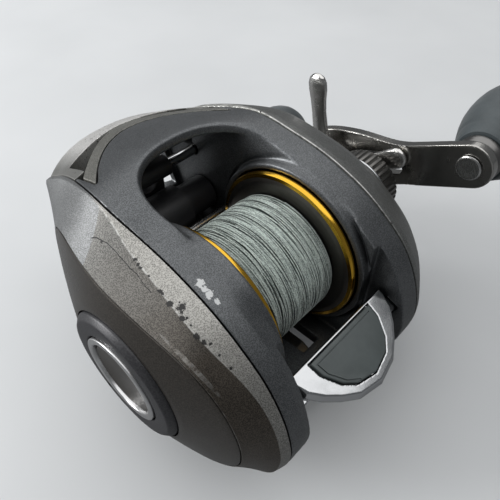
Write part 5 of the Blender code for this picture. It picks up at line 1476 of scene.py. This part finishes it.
def dial_finish():
    """Matt black, finely cast."""
    made = Recipe("dial", (0.038, 0.038, 0.041), 0.42, 0.35)
    fine = made.noise(3800.0, 2.0, 0.6)
    colour = made.mix(made.ramp(fine, 0.3, 0.7), (0.026, 0.026, 0.029), (0.060, 0.060, 0.064))
    made.link(colour, "Base Color")
    made.bump(fine, 0.35, 0.00006)
    return made.material


def turned_metal(name, colour, roughness, lines=2600.0, spread=0.08):
    """Metal turned on a lathe about X: fine rings, drifting tone."""
    made = Recipe(name, colour, roughness, 1.0)
    x, y, z = made.place()
    radius = made.math('SQRT', made.plus(made.times(y, y), made.times(z, z)))
    where = made.node("ShaderNodeCombineXYZ", X=made.times(x, 0.004),
                      Y=made.times(radius, 0.001), Z=0.0).outputs[0]
    rings = made.noise(lines, 3.0, 0.6, where=where)
    made.link(made.ramp(rings, 0.3, 0.7, roughness - spread * 0.6, roughness + spread), "Roughness")
    dull = tuple(part * 0.86 for part in colour)
    smear = made.ramp(made.noise(150.0, 4.0, 0.6), 0.42, 0.68)
    made.link(made.mix(smear, colour, dull), "Base Color")
    made.bump(rings, 0.08, 0.00002)
    return made.material


def cast_metal(name, colour, roughness, grain=1400.0, smudge=0.10, dents=0.12):
    """Plated or polished metal with faint ripple, smudges and fine scratches."""
    made = Recipe(name, colour, roughness, 1.0)
    smear = made.noise(120.0, 4.0, 0.62)
    scratch = made.noise(900.0, 2.0, 0.5, stretch=(0.12, 1.0, 1.0), seed=0.13)
    rough = made.plus(made.ramp(smear, 0.35, 0.7, roughness - smudge * 0.3, roughness + smudge),
                      made.ramp(scratch, 0.62, 0.72, 0.0, 0.12))
    made.link(rough, "Roughness")
    dull = tuple(part * 0.80 for part in colour)
    made.link(made.mix(made.ramp(smear, 0.5, 0.8), colour, dull), "Base Color")
    made.bump(made.noise(grain, 3.0, 0.6), dents, 0.00004)
    return made.material


def arm_finish():
    """Dark nickel on the handle, smudged by hands."""
    made = Recipe("dark nickel", (0.33, 0.32, 0.30), 0.20, 1.0)
    smear = made.noise(120.0, 4.0, 0.62)
    made.link(made.ramp(smear, 0.35, 0.7, 0.15, 0.32), "Roughness")
    colour = made.mix(made.ramp(smear, 0.45, 0.8), (0.46, 0.45, 0.43), (0.34, 0.33, 0.31))
    made.link(colour, "Base Color")
    made.bump(made.noise(1500.0, 3.0, 0.6), 0.10, 0.00004)
    return made.material


def plastic(name, colour, roughness, grain=2500.0, strength=0.3, sheen=0.0):
    """Moulded plastic or rubber: fine grain, slow drift of tone."""
    made = Recipe(name, colour, roughness, 0.0, Sheen_Weight=sheen, Sheen_Roughness=0.4)
    fine = made.noise(grain, 3.0, 0.6)
    pale = tuple(min(1.0, part * 1.25 + 0.004) for part in colour)
    made.link(made.mix(made.ramp(made.noise(200.0, 3.0, 0.6), 0.35, 0.7), colour, pale), "Base Color")
    made.link(made.ramp(fine, 0.3, 0.7, roughness - 0.06, roughness + 0.08), "Roughness")
    made.bump(fine, strength, 0.00005)
    return made.material


def line_finish():
    """Braided line: dark green fibres with pale ones that are partly painted highlight, running with the
    strand, crossed by fine picks.
    """
    made = Recipe("braided line", (0.30, 0.38, 0.35), 0.72, 0.0, Sheen_Weight=0.35, Sheen_Roughness=0.5)
    x, y, z = made.place()
    angle = made.math('ARCTAN2', y, z)
    along = made.times(angle, 12.7)     # millimetres round the spool
    where = made.node("ShaderNodeCombineXYZ", X=x, Y=made.times(along, 0.35), Z=0.0).outputs[0]
    fibre = made.noise(5.5, 4.0, 0.75, where=where)
    long_way = made.node("ShaderNodeCombineXYZ", X=x, Y=made.times(along, 0.06), Z=0.0).outputs[0]
    tone = made.noise(2.6, 3.0, 0.7, where=long_way)
    picks = made.node("ShaderNodeTexWave", Vector=where, Scale=3.4, Distortion=3.0, Detail=2.0)
    picks.wave_type = 'BANDS'
    picks.bands_direction = 'DIAGONAL'
    share = made.plus(made.times(fibre, 0.55), made.times(tone, 0.50))
    share = made.plus(share, made.times(picks.outputs["Fac"], 0.12))
    # The pale end of this ramp is partly the fibres' own tone and partly a painted highlight on the
    # braid.
    colour = made.mix(made.ramp(share, 0.47, 0.66), (0.045, 0.075, 0.064), (0.78, 0.88, 0.82))
    # Painted shade: near black in the gaps between strands, and darker green in the pack's wider
    # recesses.
    colour = made.mix(made.recess(0.0007, 0.35, 0.80), (0.010, 0.018, 0.015), colour)
    colour = made.mix(made.recess(0.010, 0.25, 0.75), (0.020, 0.034, 0.028), colour)
    made.link(colour, "Base Color")
    made.bump(fibre, 0.7, 0.00012)
    return made.material


# ---------------------------------------------------------------- assembly

FRAME_PAINT = frame_paint()
PALM_PAINT = palm_paint()
TRIM_PAINT = trim_paint()
NOSE_PAINT = nose_paint()
COVER_PAINT = cover_paint()
PANEL = panel_finish()
DIAL = dial_finish()
SATIN = turned_metal("satin ring", (0.78, 0.78, 0.78), 0.30, 3000.0, 0.08)
GOLD = turned_metal("gold anodising", (0.86, 0.50, 0.055), 0.17, 2600.0, 0.06)
FLANGE = turned_metal("dark anodising", (0.21, 0.195, 0.18), 0.33, 2600.0, 0.07)
STEEL = turned_metal("steel", (0.56, 0.56, 0.55), 0.24, 2400.0, 0.08)
DARK_STEEL = cast_metal("dark steel", (0.22, 0.215, 0.21), 0.34)
BRASS = turned_metal("brass", (0.62, 0.45, 0.17), 0.26, 2200.0, 0.08)
LINE = line_finish()
LINE_SHADE = plastic("shaded line", (0.020, 0.034, 0.029), 0.8)
CHROME = cast_metal("chrome", (0.60, 0.61, 0.62), 0.13, 900.0, 0.07, 0.05)
DARK_NICKEL = arm_finish()
STAR_NICKEL = cast_metal("star nickel", (0.66, 0.65, 0.63), 0.20, 900.0, 0.10, 0.08)
CAP_NICKEL = cast_metal("cap nickel", (0.20, 0.195, 0.185), 0.30)
PAD = plastic("thumb pad", (0.078, 0.092, 0.092), 0.42, 2600.0, 0.25)
KNOB = plastic("soft knob", (0.042, 0.052, 0.056), 0.50, 3000.0, 0.35, 0.25)
BLACK = plastic("black plastic", (0.020, 0.020, 0.022), 0.45)
MAGNET = cast_metal("plated magnet", (0.46, 0.46, 0.47), 0.26)
CERAMIC = plastic("ceramic", (0.10, 0.10, 0.105), 0.16, 2600.0, 0.05)
CARBON = plastic("carbon", (0.040, 0.040, 0.042), 0.5, 1600.0, 0.6)

put(frame_form(), "frame_body", "body", FRAME_PAINT, "frame_grey", "frame")
put(trim_form(), "hood_trim", "body", TRIM_PAINT, "trim_bronze", "front_trim")
put(nose_form(), "nose_strip", "body", NOSE_PAINT, "worn_silver", "nose_bar")
put(palm_cover_form(), "palm_shell", "body", PALM_PAINT, "trim_bronze", "palm_cover")
put(palm_panel_form(), "palm_plate", "body", PANEL, "panel_dark", "palm_panel")
put(inlay_form(), "side_window", "body", GOLD, "gold", "side_inlay")
put(dial_form(), "brake_knob", "dial", DIAL, "dial_black", "brake_dial")
put(dial_ring_form(), "brake_knob_ring", "dial", SATIN, "satin_ring", "dial_ring")
put(dial_centre_form(), "brake_knob_dish", "dial", PANEL, "panel_dark", "dial_centre")
put(spool_form(), "spool_body", "spool_unit", FLANGE, "spool_dark", "spool")
put(rim_form(-1), "spool_rim_palm", "spool_unit", GOLD, "gold")
put(rim_form(1), "spool_rim_gear", "spool_unit", GOLD, "gold")
put(pack_form(), "line_layers", "spool_unit", LINE_SHADE, "line_green", "line_core")
put(winding_form(), "line_turns", "spool_unit", LINE, "line_green", "line_winding")
put(rod_form(GUIDE_BAR, GUIDE_BAR_R), "front_rod", "body", CHROME, "chrome", "guide_bar")
put(rod_form(REAR_ROD, REAR_ROD_R), "back_rod", "body", STEEL, "steel", "rear_rod")
put(worm_cover_form(), "worm_tube", "body", BLACK, "black_plastic", "worm_cover")
put(guide_form(), "line_carriage", "carriage", BLACK, "black_plastic", "line_guide")
put(eye_form(), "line_eye", "carriage", CERAMIC, "ceramic", "line_guide_eye")
put(cover_form(), "gear_cover", "body", COVER_PAINT, "trim_bronze", "handle_cover")
put(cap_form(), "cast_knob", "cast_control", CAP_NICKEL, "dark_nickel", "cast_control_cap")
put(collar_form(), "cast_knob_collar", "body", CHROME, "chrome", "cap_collar")
put(star_form(), "star_wheel", "star", STAR_NICKEL, "dark_nickel", "star_drag")
put(arm_form(), "crank_arm", "drive", DARK_NICKEL, "dark_nickel", "handle_arm")
put(nut_form(), "crank_nut", "drive", DARK_STEEL, "dark_steel", "handle_nut")
for number, side, body in ((1, 1, "knob_near"), (2, -1, "knob_far")):
    put(pin_form(side), f"knob_pin_{number}", "drive", STEEL, "steel", f"knob_{number}_pin")
    put(knob_collar_form(side), f"knob_washer_{number}", "drive", DARK_STEEL, "dark_steel",
        f"knob_{number}_collar")
    put(knob_form(side), f"grip_{number}", body, KNOB, "knob_slate", f"knob_{number}")
    put(knob_cap_form(side), f"grip_plug_{number}", body, CAP_NICKEL, "dark_nickel",
        f"knob_{number}_cap")
put(thumb_bar_form(), "thumb_lever", "thumb", CHROME, "chrome", "thumb_bar")
put(thumb_pad_form(), "thumb_pad", "thumb", PAD, "pad_green", "thumb_pad")
put(foot_form(), "rod_foot", "body", CAP_NICKEL, "dark_nickel", "reel_foot")

# Inner pieces keep their CAD form and take a finish.
KEPT = (
    (BLACK, ("brake_base", "brake_carrier", "wind_gear", "clutch_yoke", "worm_gear")),
    (BRASS, ("drive_gear", "pinion", "pawl_cap")),
    (CARBON, ("drag_washer",)),
    (MAGNET, ("brake_magnets",)),
    (DARK_STEEL, ("clutch_ratchet", "one_way_bearing", "nut_retainer",
                  "cover_screw_1", "cover_screw_2")),
    (STEEL, ("spool_shaft", "spool_bearing_palm", "spool_bearing_gear", "pinion_bearing", "cap_bearing",
             "pressure_plate", "drive_shaft", "worm_shaft", "guide_pawl", "foot_screw_1",
             "foot_screw_2")))
for finish, nodes in KEPT:
    for node in nodes:
        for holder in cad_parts[node].material_slots:
            holder.material = finish


# ---------------------------------------------------------------- stage, in metres

FLOOR_DROP = 0.0005
FLOOR_REACH = 4.0
LAMP_TARGET = (0.0, 0.0, 0.02)
WORLD_STRENGTH = 0.16


def pale_surface():
    """Card that the camera sees as the photo's pale background, and other rays as a darker grey."""
    made = Recipe("pale card", (0.74, 0.755, 0.765), 0.95, 0.0)
    tone = made.noise(14.0, 3.0, 0.55)
    card = made.mix(made.ramp(tone, 0.3, 0.7), (0.62, 0.635, 0.645), (0.67, 0.685, 0.695))
    seen = made.node("ShaderNodeLightPath").outputs["Is Camera Ray"]
    made.link(made.mix(seen, (0.20, 0.205, 0.21), card), "Base Color")
    return made.material


def make_stage():
    height = min(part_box(node)[0].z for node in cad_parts) - FLOOR_DROP
    bm = bmesh.new()
    corners = ((-FLOOR_REACH, -FLOOR_REACH), (FLOOR_REACH, -FLOOR_REACH), (FLOOR_REACH, FLOOR_REACH),
               (-FLOOR_REACH, FLOOR_REACH))
    bm.faces.new([bm.verts.new((x, y, height)) for x, y in corners])
    floor = object_from(bm, "floor")
    floor.data.materials.append(pale_surface())


# The camera's right, down and forward in the CAD frame, as fitted to the photo.
CAMERA_ROWS = ((0.6814, -0.7317, 0.0133), (-0.5244, -0.5009, -0.6885), (0.5105, 0.4622, -0.7251))
CAMERA_SPOT = (-0.04862, -0.0437, 0.09919)
CAMERA_LENS = 36.55


def area_lamp(name, spot, size, power):
    """Square lamp that looks at the reel."""
    lamp = bpy.data.lights.new(name, 'AREA')
    lamp.shape = 'RECTANGLE'
    lamp.size = lamp.size_y = size
    lamp.energy = power
    holder = bpy.data.objects.new(name, lamp)
    bpy.context.scene.collection.objects.link(holder)
    holder.location = spot
    holder.rotation_euler = (Vector(LAMP_TARGET) - Vector(spot)).to_track_quat('-Z', 'Y').to_euler()


def make_camera():
    right, down, away = CAMERA_ROWS
    camera = bpy.data.cameras.new("view")
    camera.lens = CAMERA_LENS
    camera.sensor_width = 36.0
    camera.clip_start = 0.001
    holder = bpy.data.objects.new("view", camera)
    bpy.context.scene.collection.objects.link(holder)
    holder.matrix_world = Matrix(((right[0], -down[0], -away[0], CAMERA_SPOT[0]),
                                  (right[1], -down[1], -away[1], CAMERA_SPOT[1]),
                                  (right[2], -down[2], -away[2], CAMERA_SPOT[2]), (0.0, 0.0, 0.0, 1.0)))
    bpy.context.scene.camera = holder


def make_world():
    world = bpy.data.worlds.new("soft room")
    world.use_nodes = True
    bpy.context.scene.world = world
    back = world.node_tree.nodes["Background"]
    back.inputs["Color"].default_value = (0.84, 0.87, 0.90, 1.0)
    back.inputs["Strength"].default_value = WORLD_STRENGTH


make_stage()
make_camera()
make_world()
area_lamp("ceiling", (0.10, 0.20, 0.90), 1.90, 13.5)
area_lamp("window", (-0.46, 0.50, 0.24), 0.30, 4.2)
bpy.context.scene.view_settings.view_transform = 'Standard'
